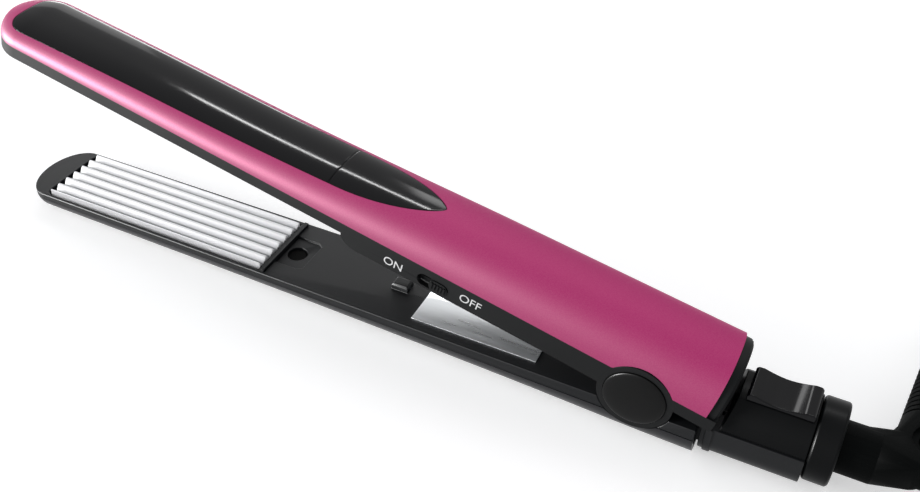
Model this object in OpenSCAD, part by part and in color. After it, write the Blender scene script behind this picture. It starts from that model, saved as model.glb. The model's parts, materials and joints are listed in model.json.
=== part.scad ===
// Hair crimper: two long arms on one hinge, with meshing ribbed plates.
// The arms lie along X with their tips at -X. The table is z = 0, in millimetres.
// The deck frame has x = 0 at the hinge and z = 0 on the lower arm's deck.

/* [Arms] */
// Reach of the lower arm from the hinge to its tip
lower_reach = 234; // [220:1:250]
// How far the upper arm's tip stands past the lower one
upper_extra = 5; // [0:0.5:8]
// Margin of both arms beside the plate, near the tips
arm_margin = 2.1; // [2:0.1:3]
// How much further each side of the arms reaches out at the hinge
side_flare = 1.3; // [1.1:0.1:2]
// Depth of the lower arm under its deck at the tip
depth_tip = 8.1; // [7.8:0.1:9]
// Depth of the lower arm under its deck at the hinge
depth_hinge = 13.6; // [13:0.1:15]
// Angle that the spring holds the arms open
open_angle = 14; // [8:0.5:16]
// Length of the rounding of the upper tip
upper_nose = 12.5; // [10:0.5:15]
// Length of the rounding of the lower tip
lower_nose = 10; // [8:0.5:12]
// Wall of the upper cover
upper_wall = 2.4; // [2.2:0.1:2.8]
// Wall of the lower cover
lower_wall = 1.8; // [1.5:0.1:2.2]
// Gap between moulded pieces of one arm
seam = 0.1; // [0.05:0.05:0.2]

/* [Upper arm] */
// Height of the pink cover's crown at the tip
crown_tip = 5.5; // [5:0.1:7]
// Height of the crown over the rear end of the plate
crown_plate = 7.8; // [7:0.1:9]
// Height of the crown at the hinge
crown_hinge = 14.1; // [13:0.1:16]
// Height of the cover's lower edge over the deck at the tip
parting_tip = 5.7; // [5.4:0.1:6.5]
// Height of the cover's lower edge over the deck at the hinge
parting_hinge = 11.5; // [11:0.1:12.5]
// Height of the housing's lower edge over the deck at the tip
edge_tip = 1.2; // [0.8:0.1:2]
// Height of the housing's lower edge where its front part ends
edge_step = 5.1; // [4.6:0.1:5.6]
// Height of the housing's deep wall over the deck at its front
edge_deep = 1; // [0.8:0.1:1.4]
// Height of the housing's deep wall over the deck near the hinge
edge_hinge = 2.9; // [2.5:0.1:3.4]
// Distance of the step in the lower edge ahead of the hinge
step_x = 101; // [99:0.5:103]
// Thickness of the housing's side walls
side_wall = 1.8; // [1.5:0.1:2]

/* [Inlays] */
// Half width of the long inlay at its front end
inlay_half_front = 11.2; // [9:0.1:11.5]
// Half width of the inlays at the seam between them
inlay_half_seam = 10; // [8:0.1:11]
// Distance of the seam ahead of the hinge
inlay_seam_x = 111; // [100:0.5:118]
// Distance of the teardrop's tip ahead of the hinge
inlay_tail_x = 75.5; // [65:0.5:85]
// Margin between the inlay's front end and the arm's tip
inlay_margin = 9; // [7:0.5:12]
// Thickness of the inlays
inlay_t = 1.3; // [1:0.1:1.4]

/* [Crimping plates] */
// Length of both plates
plate_l = 89.5; // [80:0.5:90]
// Width of both plates
plate_w = 25; // [24:0.1:28]
// Distance from the lower tip to the plate's front edge
plate_margin = 12.3; // [12:0.1:14]
// Number of ridges across the lower plate
ridge_count = 7; // [5:1:9]
// Height of a ridge
ridge_h = 2.3; // [1.5:0.1:2.4]
// Height of the lower plate's crests over the deck
crest_z = 1.7; // [1.4:0.1:2]
// Gap between the plates when they are shut, measured upright
mesh_gap = 0.8; // [0.7:0.1:1.2]
// Thickness of a plate under its grooves
plate_t = 1.55; // [1.4:0.05:1.7]
// Side wall of the plate frames
frame_wall = 0.85; // [0.7:0.05:0.9]
// Thickness of the flat heaters
heater_t = 2.4; // [1.8:0.1:2.5]

/* [Hinge] */
// Height of the hinge axis over the deck
pivot_z = 4.6; // [4.4:0.1:5]
// Radius of the hinge pin
pin_r = 2.5; // [2:0.1:3]
// Radial clearance of the hinge pin in its bores
pin_gap = 0.05; // [0.02:0.01:0.1]
// Radius of the upper arm's cheeks
cheek_r = 11.7; // [11.2:0.1:12]
// Clearance round the cheeks
cheek_gap = 0.3; // [0.3:0.05:0.5]
// Thickness of a cheek
cheek_t = 3.3; // [3:0.1:3.5]
// Radius of the round caps over the pin's ends
cap_r = 9.6; // [8:0.1:10]
// How far a cap stands out from the arm's side
cap_proud = 1.2; // [0.6:0.1:1.6]
// Wire thickness of the return spring
spring_wire = 1.6; // [1.2:0.1:1.8]
// Number of turns of the return spring
spring_turns = 5; // [4:1:5]

/* [Switch] */
// Distance of the switch slot's middle ahead of the hinge
switch_x = 68.3; // [66:0.1:70]
// Length of the switch slot
slot_l = 10.7; // [10:0.1:12]
// Height of the switch slot
slot_h = 4.5; // [4:0.1:4.8]
// Travel of the switch knob
switch_travel = 4; // [3:0.1:4.2]

/* [Tail and lock] */
// Distance of the neck's rear end behind the hinge
neck_end = 50; // [49:0.5:52]
// Radius of the collar
collar_r = 12.8; // [12.7:0.05:12.9]
// Length of the collar
collar_l = 7.6; // [7:0.1:9]
// Depth of the collar's axis under the deck
collar_drop = 1.9; // [1.8:0.1:2.1]
// Distance of the lock button's front end behind the hinge
lock_x = 29.6; // [29.4:0.1:32]
// Travel of the lock button
lock_travel = 3; // [2:0.1:3]

/* [Cord] */
// Diameter of the cord
cord_d = 5; // [4.6:0.1:5]
// Radius of the swivel barrel
barrel_r = 7.9; // [7:0.1:8.2]
// Radial running clearance of the barrel in the collar
barrel_gap = 0.1; // [0.05:0.01:0.1]
// Radius of the hanging eye's hole
eye_r = 4; // [3:0.1:4.2]
// Thickness of the hanging eye
eye_t = 9; // [7:0.5:10]
// Number of ribs on the strain relief
rib_count = 14; // [8:1:16]
// Inner radius of the coil
coil_r = 19; // [17:1:22]
// Step between neighbouring loops of the coil
coil_step = 6; // [5.8:0.1:6.4]
// Loops in each of the coil's two layers
coil_loops = 4; // [3:1:5]
// Length of the plug's body
plug_l = 34; // [30:1:36]
// Length of the plug's pins
plug_pin_l = 19; // [18:0.5:20]
// Diameter of the plug's pins
plug_pin_d = 4; // [3.8:0.1:4.2]
// Distance between the plug's pins
plug_pitch = 18.6; // [18:0.1:19.2]

/* [Hidden] */
fine = 96;
big = 400;

half_w_tip = plate_w / 2 + arm_margin;
half_w_hinge = half_w_tip + side_flare;

// Frames
collar_end = neck_end + 0.25 + collar_l;
collar_edge = 0.6;
collar_low = collar_drop + collar_r - collar_edge;
lean = atan((depth_hinge - depth_tip) / lower_reach);
upper_reach = lower_reach + upper_extra;
// The part's middle in X lies between the foremost tip and the collar's rear edge
tip_drop = edge_tip - pivot_z;
upper_tip_x = -upper_reach * cos(open_angle) + tip_drop * sin(open_angle);
upper_tip_z = pivot_z + upper_reach * sin(open_angle) + tip_drop * cos(open_angle);
foremost = min(-lower_reach * cos(lean), upper_tip_x * cos(lean) - upper_tip_z * sin(lean));
x_shift = -(foremost + collar_end * cos(lean) + collar_low * sin(lean)) / 2;

// Plates
plate_front = lower_reach - plate_margin;
plate_rear = plate_front - plate_l;
frame_half = plate_w / 2 + 0.05 + frame_wall;
frame_front = plate_front + 0.05 + 2 * frame_wall;
frame_rear = plate_rear - 2.6;
rail_drop = 1.3;
frame_depth = 4.2;
frame_step = 1.7;
bar_l = 1.4;
bar_half = half_w_tip - 0.3;
ridge_pitch = plate_w / (ridge_count - 1);
wave_steps = 8;
plate_base = crest_z - ridge_h - plate_t;
upper_plate_top = crest_z + mesh_gap + plate_t;
upper_rail_z = crest_z + mesh_gap + 0.9;
upper_back_z = upper_plate_top + frame_depth + plate_base;
window_half = 9;
window_end = 6;
heater_l = 50;
heater_half = 6;
heater_x = (plate_front + plate_rear) / 2;
clip_t = 0.6;
clip_rise = 1.6;

// Screws behind the plates
screw_x = plate_rear - 7;
screw_head_r = 2.9;
screw_head_t = 1.4;
screw_r = 1.3;
sink_r = 3.4;
recess_rear = screw_x - 5.9;
recess_half = 7.5;
recess_drop = 0.8;
lower_head_z = -3;
upper_head_z = 6.6;

// Lower arm
part_tip = 2;
part_hinge = 4.1;
cover_rear = 19.2;
neck_front = 20.2;
nub_x = 85;
label_front = 75.5;
label_rear = 32.5;
label_half = 11.4;
label_t = 0.3;
label_gap = 0.02;
ear_in = 8;
ear_out = half_w_hinge - cheek_t - 0.4;
ear_r = 7;
well_half_x = 9;
well_depth = 3.4;
tray_depth = 5.2;

// Upper arm
edge_deep_x = step_x - 7;
step_r = 6;
step_n = 6;
front_floor = 6.8;
deep_floor = 4.6;
deep_recess = 3;
pivot_open_front = 16;
pivot_open_rear = 12;
rear_edge_z = 7.5;
rear_floor = 9;
cover_rear_x = 19.9;
rim_rear_x = 23.1;
rim_inset = 0.8;
cap_seat = 0.85;

// Neck and lock
neck_half = 13.2;
neck_bottom = -13.6;
neck_round = 8.5;
neck_top_r = 12.6;
core_front = 11.2;
core_half = 10;
core_low = -9.5;
duct_half = 3.4;
duct_low = -9;
lip_x = 21.7;
lip_l = 2.2;
lip_rise = 0.5;
spigot_l = 3.7;
spigot_r = collar_r - 2.3;
bore_r = spigot_r - 1.9;
front_slope = open_angle;
tail_front = 25.5;
land_z = 9.3;
tongue_low = 0.25;
tongue_t = 0.9;
tongue_half = 5;
tongue_tip = 23;
stem_x = 38;
stem_l = 5;
stem_half = 2;
lock_l = neck_end - 0.6 - lock_x;
hook_x = 17.2;
hook_l = 5;
hook_low = 1.6;
hook_t = 2;
hook_stem_l = 2.2;
hook_stem_half = 3;
hook_room = 0.8;
slide_gap = 0.2;

// Fineness of the lofts: stretches along the arm and facets across it
crown_rows = 22;
crown_steps = 24;

// Swivel and cord, the route in the table frame
barrel_x = neck_end + 4.1;
flange_t = 1.6;
eye_x = 81.6;
eye_y = 7.7;
eye_rim = 11.2;
relief_x = 79.2;
relief_y = 17;
relief_end = 50;
relief_r0 = 6.8;
relief_r1 = 3.5;
cord_sides = 10;
loop_rings = 24;
loop_sides = 6;
table_gap = 0.1;
coil_at = [238, 30];
coil_z = cord_d / 2 + table_gap;
layer_step = cord_d + 1;
coil_turns = 2 * coil_loops;
turn_back = 0.125;
plug_half_w = 17;
plug_half_h = 6.5;
// The plug lies across the coil's upper layer, its pins towards -Y
plug_at = [262, 40, coil_z + layer_step + cord_d / 2 + table_gap + plug_half_h];
plug_neck_l = 10;
plug_point = 1;
plug_root_l = 8;
plug_root_r = plug_pin_d / 2 - 0.2;

// Places in the two frames
function to_table(p) = [
    x_shift + p[0] * cos(lean) - p[2] * sin(lean),
    p[1],
    depth_hinge + p[0] * sin(lean) + p[2] * cos(lean)
];

module on_deck() {
    translate([x_shift, 0, depth_hinge])
        rotate([0, -lean, 0])
            children();
}

module on_upper() {
    on_deck()
        translate([0, 0, pivot_z])
            rotate([0, open_angle, 0])
                translate([0, 0, -pivot_z])
                    children();
}

// Lines along the arms. x is 0 at the hinge and negative towards the tips.
function line(x, tip, hinge) = hinge + x * (hinge - tip) / lower_reach;
function half_w(x) = line(x, half_w_tip, half_w_hinge);
function depth(x) = depth_hinge + x * (depth_hinge - depth_tip) / lower_reach;
function parting(x) = line(x, parting_tip, parting_hinge);
function lower_parting(x) = -line(x, part_tip, part_hinge);
function knot_slope(t, i) =
    i == 0 ? (t[1][1] - t[0][1]) / (t[1][0] - t[0][0]) :
    i == len(t) - 1 ? (t[i][1] - t[i - 1][1]) / (t[i][0] - t[i - 1][0]) :
    let (a = t[i][0] - t[i - 1][0], b = t[i + 1][0] - t[i][0])
    (a * a * t[i + 1][1] + (b * b - a * a) * t[i][1] - b * b * t[i - 1][1]) / (a * b * (a + b));

// Smooth curve through a table of [x, value]: a cubic between neighbouring rows
function smooth_lookup(x, t) =
    let (
        i = max([0, for (k = [1:len(t) - 2]) if (t[k][0] <= x) k]),
        h = t[i + 1][0] - t[i][0],
        u = min(1, max(0, (x - t[i][0]) / h))
    )
    (1 + 2 * u) * (1 - u) * (1 - u) * t[i][1] + u * (1 - u) * (1 - u) * h * knot_slope(t, i)
        + u * u * (3 - 2 * u) * t[i + 1][1] - u * u * (1 - u) * h * knot_slope(t, i + 1);
function crown(x) = smooth_lookup(x, [
    [-lower_reach, crown_tip],
    [-196, crown_tip + 1.2],
    [-133, crown_plate],
    [-96, crown_plate + 1.8],
    [-60, crown_hinge - 2.4],
    [-26, crown_hinge - 1],
    [0, crown_hinge],
    [26, crown_hinge + 1]
]);
function keel_r(x) = smooth_lookup(x, [
    [-lower_reach, depth_tip - 0.8],
    [-97, 10.6],
    [-33, 10.4],
    [0, 9.5],
    [30, 9.5]
]);

// Stations of a loft: [x, share of the width]. The nose is a quarter ellipse seen from above.
function stations(tip, nose, rear, count) = concat(
    [for (a = [8, 20, 34, 48, 62, 76]) [-tip + nose * (1 - cos(a)), sin(a)]],
    [for (i = [0:count]) [-tip + nose + i * (rear + tip - nose) / count, 1]]
);

// One section of the crown: a flattened half ellipse over the parting line.
// With a skirt its lowest points lie that far under the line.
function crown_ring(s, inset, skirt, steps) =
    let (
        b = (half_w(s[0]) - inset) * s[1],
        h = (crown(s[0]) - inset) * pow(s[1], 0.5),
        z = parting(s[0]),
        p = 2 / 2.4,
        ends = skirt > 0 ? 1 : 0
    )
    concat(
        skirt > 0 ? [[s[0], b, z - skirt]] : [],
        [for (i = [ends:steps - ends])
            let (t = 180 * i / steps)
            [s[0], b * sign(cos(t)) * pow(abs(cos(t)), p), z + h * pow(sin(t), p)]],
        skirt > 0 ? [[s[0], -b, z - skirt]] : []
    );

// One section of the lower arm: flat on the table, round at its lower corners
function keel_ring(s, inset, top) =
    let (
        b = (half_w(s[0]) - inset) * s[1],
        h = (depth(s[0]) - inset) * pow(s[1], 0.35),
        r = min(keel_r(s[0]) - inset, 0.96 * b, 0.96 * h),
        arc = [for (a = [0:15:90]) [b - r + r * cos(a), -h + r - r * sin(a)]]
    )
    concat(
        [[s[0], -b, top]],
        [for (q = arc) [s[0], -q[0], q[1]]],
        [for (i = [len(arc) - 1:-1:0]) [s[0], arc[i][0], arc[i][1]]],
        [[s[0], b, top]]
    );

// Skin over rings of points that all run the same way round
module skin(rings) {
    n = len(rings[0]);
    m = len(rings);
    sides = [for (i = [0:m - 2]) for (j = [0:n - 1])
        let (a = i * n + j, b = i * n + (j + 1) % n)
        each [[b, a, a + n], [b, a + n, b + n]]];
    start = [for (j = [0:n - 1]) j];
    end = [for (j = [n - 1:-1:0]) (m - 1) * n + j];
    polyhedron(points = [for (r = rings) each r], faces = concat(sides, [start], [end]));
}

// Loft whose every stretch is the hull of two neighbouring sections
module loft(rings) {
    for (i = [0:len(rings) - 2])
        hull()
            skin([rings[i], rings[i + 1]]);
}

module crown_loft(inset, skirt, rear, count, steps) {
    loft([for (s = stations(upper_reach - inset, upper_nose - inset, rear, count))
        crown_ring(s, inset, skirt, steps)]);
}

module keel_loft(inset, top, rear, count) {
    loft([for (s = stations(lower_reach - inset, lower_nose - inset, rear, count))
        keel_ring(s, inset, top)]);
}

// Outline of an arm seen from above, pulled in by inset
function arm_plan(tip, nose, rear, inset) =
    let (
        round = [for (a = [0:7.5:90])
            let (x = -tip + inset + (nose - inset) * (1 - cos(a)))
            [x, (half_w(x) - inset) * sin(a)]],
        near = concat(round, [[rear, half_w(rear) - inset]])
    )
    concat(near, [for (i = [len(near) - 1:-1:1]) [near[i][0], -near[i][1]]]);

module arm_prism(tip, nose, rear, inset, low, high) {
    translate([0, 0, low])
        linear_extrude(high - low)
            polygon(arm_plan(tip, nose, rear, inset));
}

// Side outline in X and Z, spread over the width in Y
module side_cut(points, y0, y1) {
    translate([0, y1, 0])
        rotate([90, 0, 0])
            linear_extrude(y1 - y0)
                polygon(points);
}

module box(low, high) {
    translate(low)
        cube(high - low);
}

// Cylinder along Y through the hinge axis
module hinge_round(r, y0, y1) {
    translate([0, y1, pivot_z])
        rotate([90, 0, 0])
            cylinder(h = y1 - y0, r = r, $fn = fine);
}

module on_both_sides() {
    children();
    mirror([0, 1, 0])
        children();
}

// Ridges of the plates
function wave(y) = crest_z - ridge_h / 2 + ridge_h / 2 * cos(360 * (y + plate_w / 2) / ridge_pitch);
wave_line = [for (i = [0:wave_steps * (ridge_count - 1)])
    let (y = -plate_w / 2 + i * ridge_pitch / wave_steps)
    [y, wave(y)]];

// Section in Y and Z, run along X
module along_x(x0, x1) {
    translate([x0, 0, 0])
        rotate([90, 0, 90])
            linear_extrude(x1 - x0)
                children();
}

module lower_crimp_plate() {
    color("silver")
        on_deck()
            along_x(-plate_front, -plate_rear)
                polygon(concat(wave_line, [[plate_w / 2, plate_base], [-plate_w / 2, plate_base]]));
}

module upper_crimp_plate() {
    raised = [for (q = wave_line) [q[0], q[1] + mesh_gap]];
    color("silver")
        on_upper()
            along_x(-plate_front, -plate_rear)
                polygon(concat(raised, [[plate_w / 2, upper_plate_top], [-plate_w / 2, upper_plate_top]]));
}

// Outline of a plate frame seen from above, with round front corners
module frame_plan(half, grow) {
    corner = 3;
    front = -frame_front - grow;
    mirror_outline(concat(
        [for (a = [0:15:90])
            [front + corner * (1 - cos(a)), half + grow - corner * (1 - sin(a))]],
        [[-frame_rear + grow, half + grow]]
    ));
}

// Outer shape of a plate frame: wide at the rails, narrower behind the plate
module frame_block(rail_z, floor_z, back_z, grow) {
    translate([0, 0, min(rail_z, floor_z) - (rail_z < floor_z ? grow : 0)])
        linear_extrude(abs(rail_z - floor_z) + grow)
            frame_plan(frame_half, grow);
    translate([0, 0, min(floor_z, back_z) - (rail_z < floor_z ? 0 : grow)])
        linear_extrude(abs(back_z - floor_z) + grow)
            frame_plan(frame_half - frame_step, grow);
}

// Frame round a plate: rails, a floor with a window, and a pocket for the plate
module plate_frame(rail_z, floor_z, back_z) {
    low = min(rail_z, back_z);
    high = max(rail_z, back_z);
    difference() {
        frame_block(rail_z, floor_z, back_z, 0);
        box(
            [-plate_front - 0.05, -plate_w / 2 - 0.05, min(rail_z, floor_z) - (rail_z < floor_z ? 1 : 0)],
            [-plate_rear + 0.05, plate_w / 2 + 0.05, max(rail_z, floor_z) + (rail_z < floor_z ? 0 : 1)]
        );
        box(
            [-plate_front + window_end, -window_half, low - 1],
            [-plate_rear - window_end, window_half, high + 1]
        );
    }
}

module lower_plate_frame() {
    bar_x = -plate_rear + 1.2;
    color("dimgray")
        on_deck() {
            plate_frame(-rail_drop, plate_base, -frame_depth);
            // The bar behind the plate lies on the deck; its front edge follows the ridges
            translate([bar_x, 0, 0])
                box([0, -bar_half, 0], [bar_l, bar_half, 1]);
            box([-plate_rear + 0.05, -frame_half, plate_base], [bar_x + bar_l, frame_half, 0]);
            for (i = [0:ridge_count - 2])
                translate([bar_x, -plate_w / 2 + (i + 0.5) * ridge_pitch, 0])
                    linear_extrude(1)
                        polygon([[0, -ridge_pitch / 3], [0, ridge_pitch / 3], [-0.9, 0]]);
        }
}

module upper_plate_frame() {
    color("dimgray")
        on_upper()
            plate_frame(upper_rail_z, upper_plate_top, upper_back_z);
}

module heater() {
    box([-heater_x - heater_l / 2, -heater_half, 0], [-heater_x + heater_l / 2, heater_half, heater_t]);
}

// Bent leaf: flat in the middle, with two raised ends that press on the cover
module heater_clip() {
    half = heater_l / 2 + 6;
    bend = heater_l / 2 - 8;
    side_points = [
        [-half, clip_rise], [-bend - 4, clip_rise], [-bend, 0], [bend, 0], [bend + 4, clip_rise],
        [half, clip_rise], [half, clip_rise + clip_t], [bend + 3.8, clip_rise + clip_t],
        [bend - 0.2, clip_t], [-bend + 0.2, clip_t], [-bend - 3.8, clip_rise + clip_t],
        [-half, clip_rise + clip_t]
    ];
    translate([-heater_x, 0, 0])
        side_cut(side_points, -heater_half + 1, heater_half - 1);
}

module lower_heater() {
    color("ivory")
        on_deck()
            translate([0, 0, plate_base - heater_t])
                heater();
}

module lower_heater_clip() {
    color("lightsteelblue")
        on_deck()
            translate([0, 0, plate_base - heater_t])
                mirror([0, 0, 1])
                    heater_clip();
}

module upper_heater() {
    color("ivory")
        on_upper()
            translate([0, 0, upper_plate_top])
                heater();
}

module upper_heater_clip() {
    color("lightsteelblue")
        on_upper()
            translate([0, 0, upper_plate_top + heater_t])
                heater_clip();
}

// Screw with its head at z = 0, pointing down
module screw(length) {
    translate([-screw_x, 0, -screw_head_t])
        cylinder(h = screw_head_t, r = screw_head_r, $fn = fine);
    translate([-screw_x, 0, -screw_head_t - length])
        cylinder(h = length + 0.1, r = screw_r, $fn = fine);
}

module screw_space(length) {
    translate([-screw_x, 0, -screw_head_t])
        cylinder(h = big, r = sink_r, $fn = fine);
    translate([-screw_x, 0, -screw_head_t - length])
        cylinder(h = length + 1, r = screw_r + 0.2, $fn = fine);
}

module lower_screw() {
    color("gray")
        on_deck()
            translate([0, 0, lower_head_z + screw_head_t])
                screw(depth(-screw_x) + lower_head_z - lower_wall - 1);
}

module upper_screw() {
    color("gray")
        on_upper()
            translate([0, 0, upper_head_z - screw_head_t])
                mirror([0, 0, 1])
                    screw(6);
}

// Region above or below the lower arm's parting line
module lower_split(above, gap) {
    far = lower_reach + 20;
    near = 60;
    z = above ? 60 : -60;
    side_cut([
        [-far, lower_parting(-far) + gap], [near, lower_parting(near) + gap], [near, z], [-far, z]
    ], -40, 40);
}

// Room for the cheeks and the side walls that turn with them
module cheek_space() {
    on_both_sides()
        hinge_round(cheek_r + cheek_gap, half_w_hinge - cheek_t - 0.15, 30);
}

module lower_cover() {
    color("#1c1d22")
        on_deck() {
            difference() {
                keel_loft(0, 0, cover_rear, 11);
                lower_split(true, -seam);
                keel_loft(lower_wall, 1, cover_rear + 1, 7);
                cheek_space();
            }
            // Boss for the screw behind the plate
            difference() {
                translate([-screw_x, 0, -depth(-screw_x) + 1])
                    cylinder(h = depth(-screw_x) - 1 - tray_depth - seam, r = 3.2, $fn = fine);
                translate([-screw_x, 0, -depth(-screw_x) + 1.4])
                    cylinder(h = big, r = screw_r + 0.05, $fn = fine);
            }
        }
}

// Rounded lower half of the neck, as a section in Y and Z
module neck_section(half, bottom, round) {
    intersection() {
        hull()
            on_both_sides_2d()
                for (z = [bottom + round, 10])
                    translate([half - round, z])
                        circle(r = round, $fn = 64);
        translate([-half - 1, bottom - 1])
            square([2 * half + 2, 1 - bottom]);
    }
}

module on_both_sides_2d() {
    children();
    mirror([1, 0])
        children();
}

module lower_neck() {
    along_x(neck_front, neck_end)
        neck_section(neck_half, neck_bottom, neck_round);
    along_x(lip_x, lip_x + lip_l)
        neck_section(neck_half + lip_rise, neck_bottom - lip_rise / 2, neck_round);
    // Core that joins the neck to the tray inside the cover
    box([core_front, -core_half, core_low], [neck_front + 1, core_half, 0]);
    difference() {
        along_x(neck_end - 0.1, neck_end + spigot_l)
            translate([0, -collar_drop])
                circle(r = spigot_r, $fn = fine);
        box([0, -30, 0], [90, 30, 30]);
    }
}

// Lowest place of the hook behind the hinge, with the arms open
function opened(x, z) = [
    x * cos(open_angle) + (z - pivot_z) * sin(open_angle),
    pivot_z - x * sin(open_angle) + (z - pivot_z) * cos(open_angle)
];
hook_front_open = opened(hook_x, hook_low)[0];
hook_low_open = opened(hook_x + hook_l, hook_low)[1];

// Hollow of the neck for the leads and for the lock's tongue and hook
module neck_hollow() {
    box(
        [hook_front_open - hook_room, -tongue_half - hook_room, hook_low_open - hook_room],
        [tongue_tip + 2, tongue_half + hook_room, big]
    );
    box([hook_x, -duct_half, duct_low], [neck_end - 2, duct_half, 1]);
    along_x(neck_end - 2.5, neck_end + spigot_l + 1)
        translate([0, -collar_drop])
            circle(r = bore_r, $fn = fine);
}

module lower_housing() {
    color("#2a2c33")
        on_deck()
            difference() {
                union() {
                    intersection() {
                        arm_prism(lower_reach, lower_nose, cover_rear, seam, -depth_hinge, 0);
                        lower_split(true, 0);
                    }
                    // Tray inside the cover, which carries the ears and the screw
                    box([-30, -ear_out, -tray_depth], [cover_rear - 1, ear_out, -1]);
                    box([-screw_x - 6, -8, -tray_depth], [-screw_x + 12, 8, -1]);
                    lower_neck();
                    // Ears that hold the hinge pin
                    on_both_sides() {
                        hinge_round(ear_r, ear_in, ear_out);
                        box([-ear_r, ear_in, -1], [ear_r, ear_out, pivot_z]);
                    }
                    // Stop nub
                    hull() {
                        box([-nub_x - 3, -1.5, -0.1], [-nub_x + 3, 3, 1.6]);
                        box([-nub_x - 2.4, -0.9, 0], [-nub_x + 2.4, 2.4, 2.3]);
                    }
                }
                cheek_space();
                hinge_round(pin_r + pin_gap, -30, 30);
                box([-well_half_x, -ear_in, -well_depth], [well_half_x, ear_in, 0.1]);
                neck_hollow();
                // Pocket for the plate frame
                frame_block(1, plate_base, -depth_hinge, seam);
                // Sunk field and hole of the screw
                translate([0, 0, -recess_drop])
                    linear_extrude(5)
                        polygon([
                            [-frame_rear - 2, -recess_half], [-recess_rear - 1.7, -recess_half],
                            [-recess_rear, -recess_half + 1.2], [-recess_rear, recess_half - 1.2],
                            [-recess_rear - 1.7, recess_half], [-frame_rear - 2, recess_half]
                        ]);
                translate([0, 0, lower_head_z + screw_head_t])
                    screw_space(10);
            }
}

module rating_label() {
    color("gainsboro")
        on_deck()
            box([-label_front, -label_half, label_gap], [-label_rear, label_half, label_gap + label_t]);
}

module tail_top() {
    color("#2a2c33")
        on_deck()
            difference() {
                union() {
                    along_x(20, neck_end)
                        translate([0, -collar_drop])
                            circle(r = neck_top_r, $fn = fine);
                    along_x(neck_end - 0.1, neck_end + spigot_l)
                        translate([0, -collar_drop])
                            circle(r = spigot_r, $fn = fine);
                }
                box([0, -40, -40], [90, 40, 0.05]);
                // Front face leans as the open upper arm's rear rim does
                side_cut([
                    [0, -20], [tail_front - tan(front_slope) * 21, -20],
                    [tail_front + tan(front_slope) * 19, 20], [0, 20]
                ], -40, 40);
                box([lock_x - lock_travel - 0.3, -20, land_z], [90, 20, 40]);
                // Run of the tongue and of the button's stem
                box(
                    [tongue_tip - lock_travel, -tongue_half - slide_gap, -1],
                    [stem_x + stem_l + 1, tongue_half + slide_gap, tongue_low + tongue_t + 1]
                );
                box(
                    [stem_x - lock_travel - slide_gap, -stem_half - slide_gap, 0],
                    [stem_x + stem_l + slide_gap, stem_half + slide_gap, 40]
                );
                box([tongue_tip, -duct_half, -1], [neck_end - 2, duct_half, tongue_low + tongue_t + 1]);
                along_x(neck_end - 2.5, neck_end + spigot_l + 1)
                    translate([0, -collar_drop])
                        circle(r = bore_r, $fn = fine);
            }
}

// Ring turned about the collar's axis: points are [radius, x]
module collar_turned(points) {
    translate([0, 0, -collar_drop])
        rotate([0, 90, 0])
            rotate_extrude($fn = fine)
                polygon(points);
}

module tail_collar() {
    start = neck_end + 0.25;
    wall_x = collar_end - 2;
    color("#141519")
        on_deck()
            collar_turned([
                [spigot_r + 0.2, start], [collar_r - collar_edge, start], [collar_r, start + collar_edge],
                [collar_r, collar_end - collar_edge], [collar_r - collar_edge, collar_end],
                [barrel_r + barrel_gap, collar_end], [barrel_r + barrel_gap, wall_x],
                [spigot_r + 0.2, wall_x]
            ]);
}

module hinge_pin() {
    reach = half_w_hinge - cap_seat - 0.3;
    color("silver")
        on_deck()
            hinge_round(pin_r, -reach, reach);
}

// Tube swept along points, with rings square to the path
function unit(v) = v / norm(v);
function heading(p, i) = unit(p[min(i + 1, len(p) - 1)] - p[max(i - 1, 0)]);
function tube_ring(c, dir, up, r, sides) =
    let (side = unit(cross(dir, up)), top = cross(side, dir))
    [for (k = [0:sides - 1])
        let (a = -360 * (k + 0.5) / sides)
        c + r * cos(a) * side + r * sin(a) * top];

module tube(path, r, sides, up) {
    skin([for (i = [0:len(path) - 1]) tube_ring(path[i], heading(path, i), up, r, sides)]);
}

spring_r = pin_r + 1 + spring_wire;
spring_pitch = spring_wire + 0.45;
spring_path = concat(
    [[-well_half_x + 1, -spring_turns * spring_pitch / 2, pivot_z - spring_r]],
    [for (i = [0:12 * spring_turns])
        let (a = 30 * i)
        [
            spring_r * sin(a),
            -spring_turns * spring_pitch / 2 + spring_pitch * i / 12,
            pivot_z - spring_r * cos(a)
        ]],
    [[well_half_x - 1, spring_turns * spring_pitch / 2, pivot_z - spring_r]]
);

module return_spring() {
    color("lightsteelblue")
        on_deck()
            tube(spring_path, spring_wire / 2, 6, [0, 1, 0.01]);
}

// Outline of the two inlays seen from above
function long_half(x) = inlay_half_seam
    - (x + inlay_seam_x) * (inlay_half_front - inlay_half_seam) / (lower_reach - inlay_seam_x);
function drop_half(t) = inlay_half_seam * pow(1 - pow(t, 2.2), 0.7);

module mirror_outline(points) {
    polygon(concat(points, [for (i = [len(points) - 1:-1:0]) [points[i][0], -points[i][1]]]));
}

module front_inlay_plan(grow) {
    front = -upper_reach + inlay_margin - grow;
    rear = -inlay_seam_x - seam / 2 + grow;
    corner = 6;
    mirror_outline(concat(
        [for (a = [0:15:90])
            [front + corner * (1 - cos(a)), long_half(front) + grow - corner * (1 - sin(a))]],
        [[rear, long_half(rear) + grow]]
    ));
}

module rear_inlay_plan(grow) {
    length = inlay_seam_x - inlay_tail_x + grow;
    mirror_outline([for (i = [0:12])
        let (t = i / 12)
        [-inlay_seam_x + seam / 2 + t * length, drop_half(t) + grow + 0.01]]);
}

module inlay_layer() {
    difference() {
        crown_loft(0, 0, cover_rear_x, crown_rows, crown_steps);
        crown_loft(inlay_t, 2, cover_rear_x + 1, crown_rows, crown_steps);
    }
}

module front_inlay() {
    color("#0b0b0d")
        on_upper()
            intersection() {
                inlay_layer();
                linear_extrude(60)
                    front_inlay_plan(0);
            }
}

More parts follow.
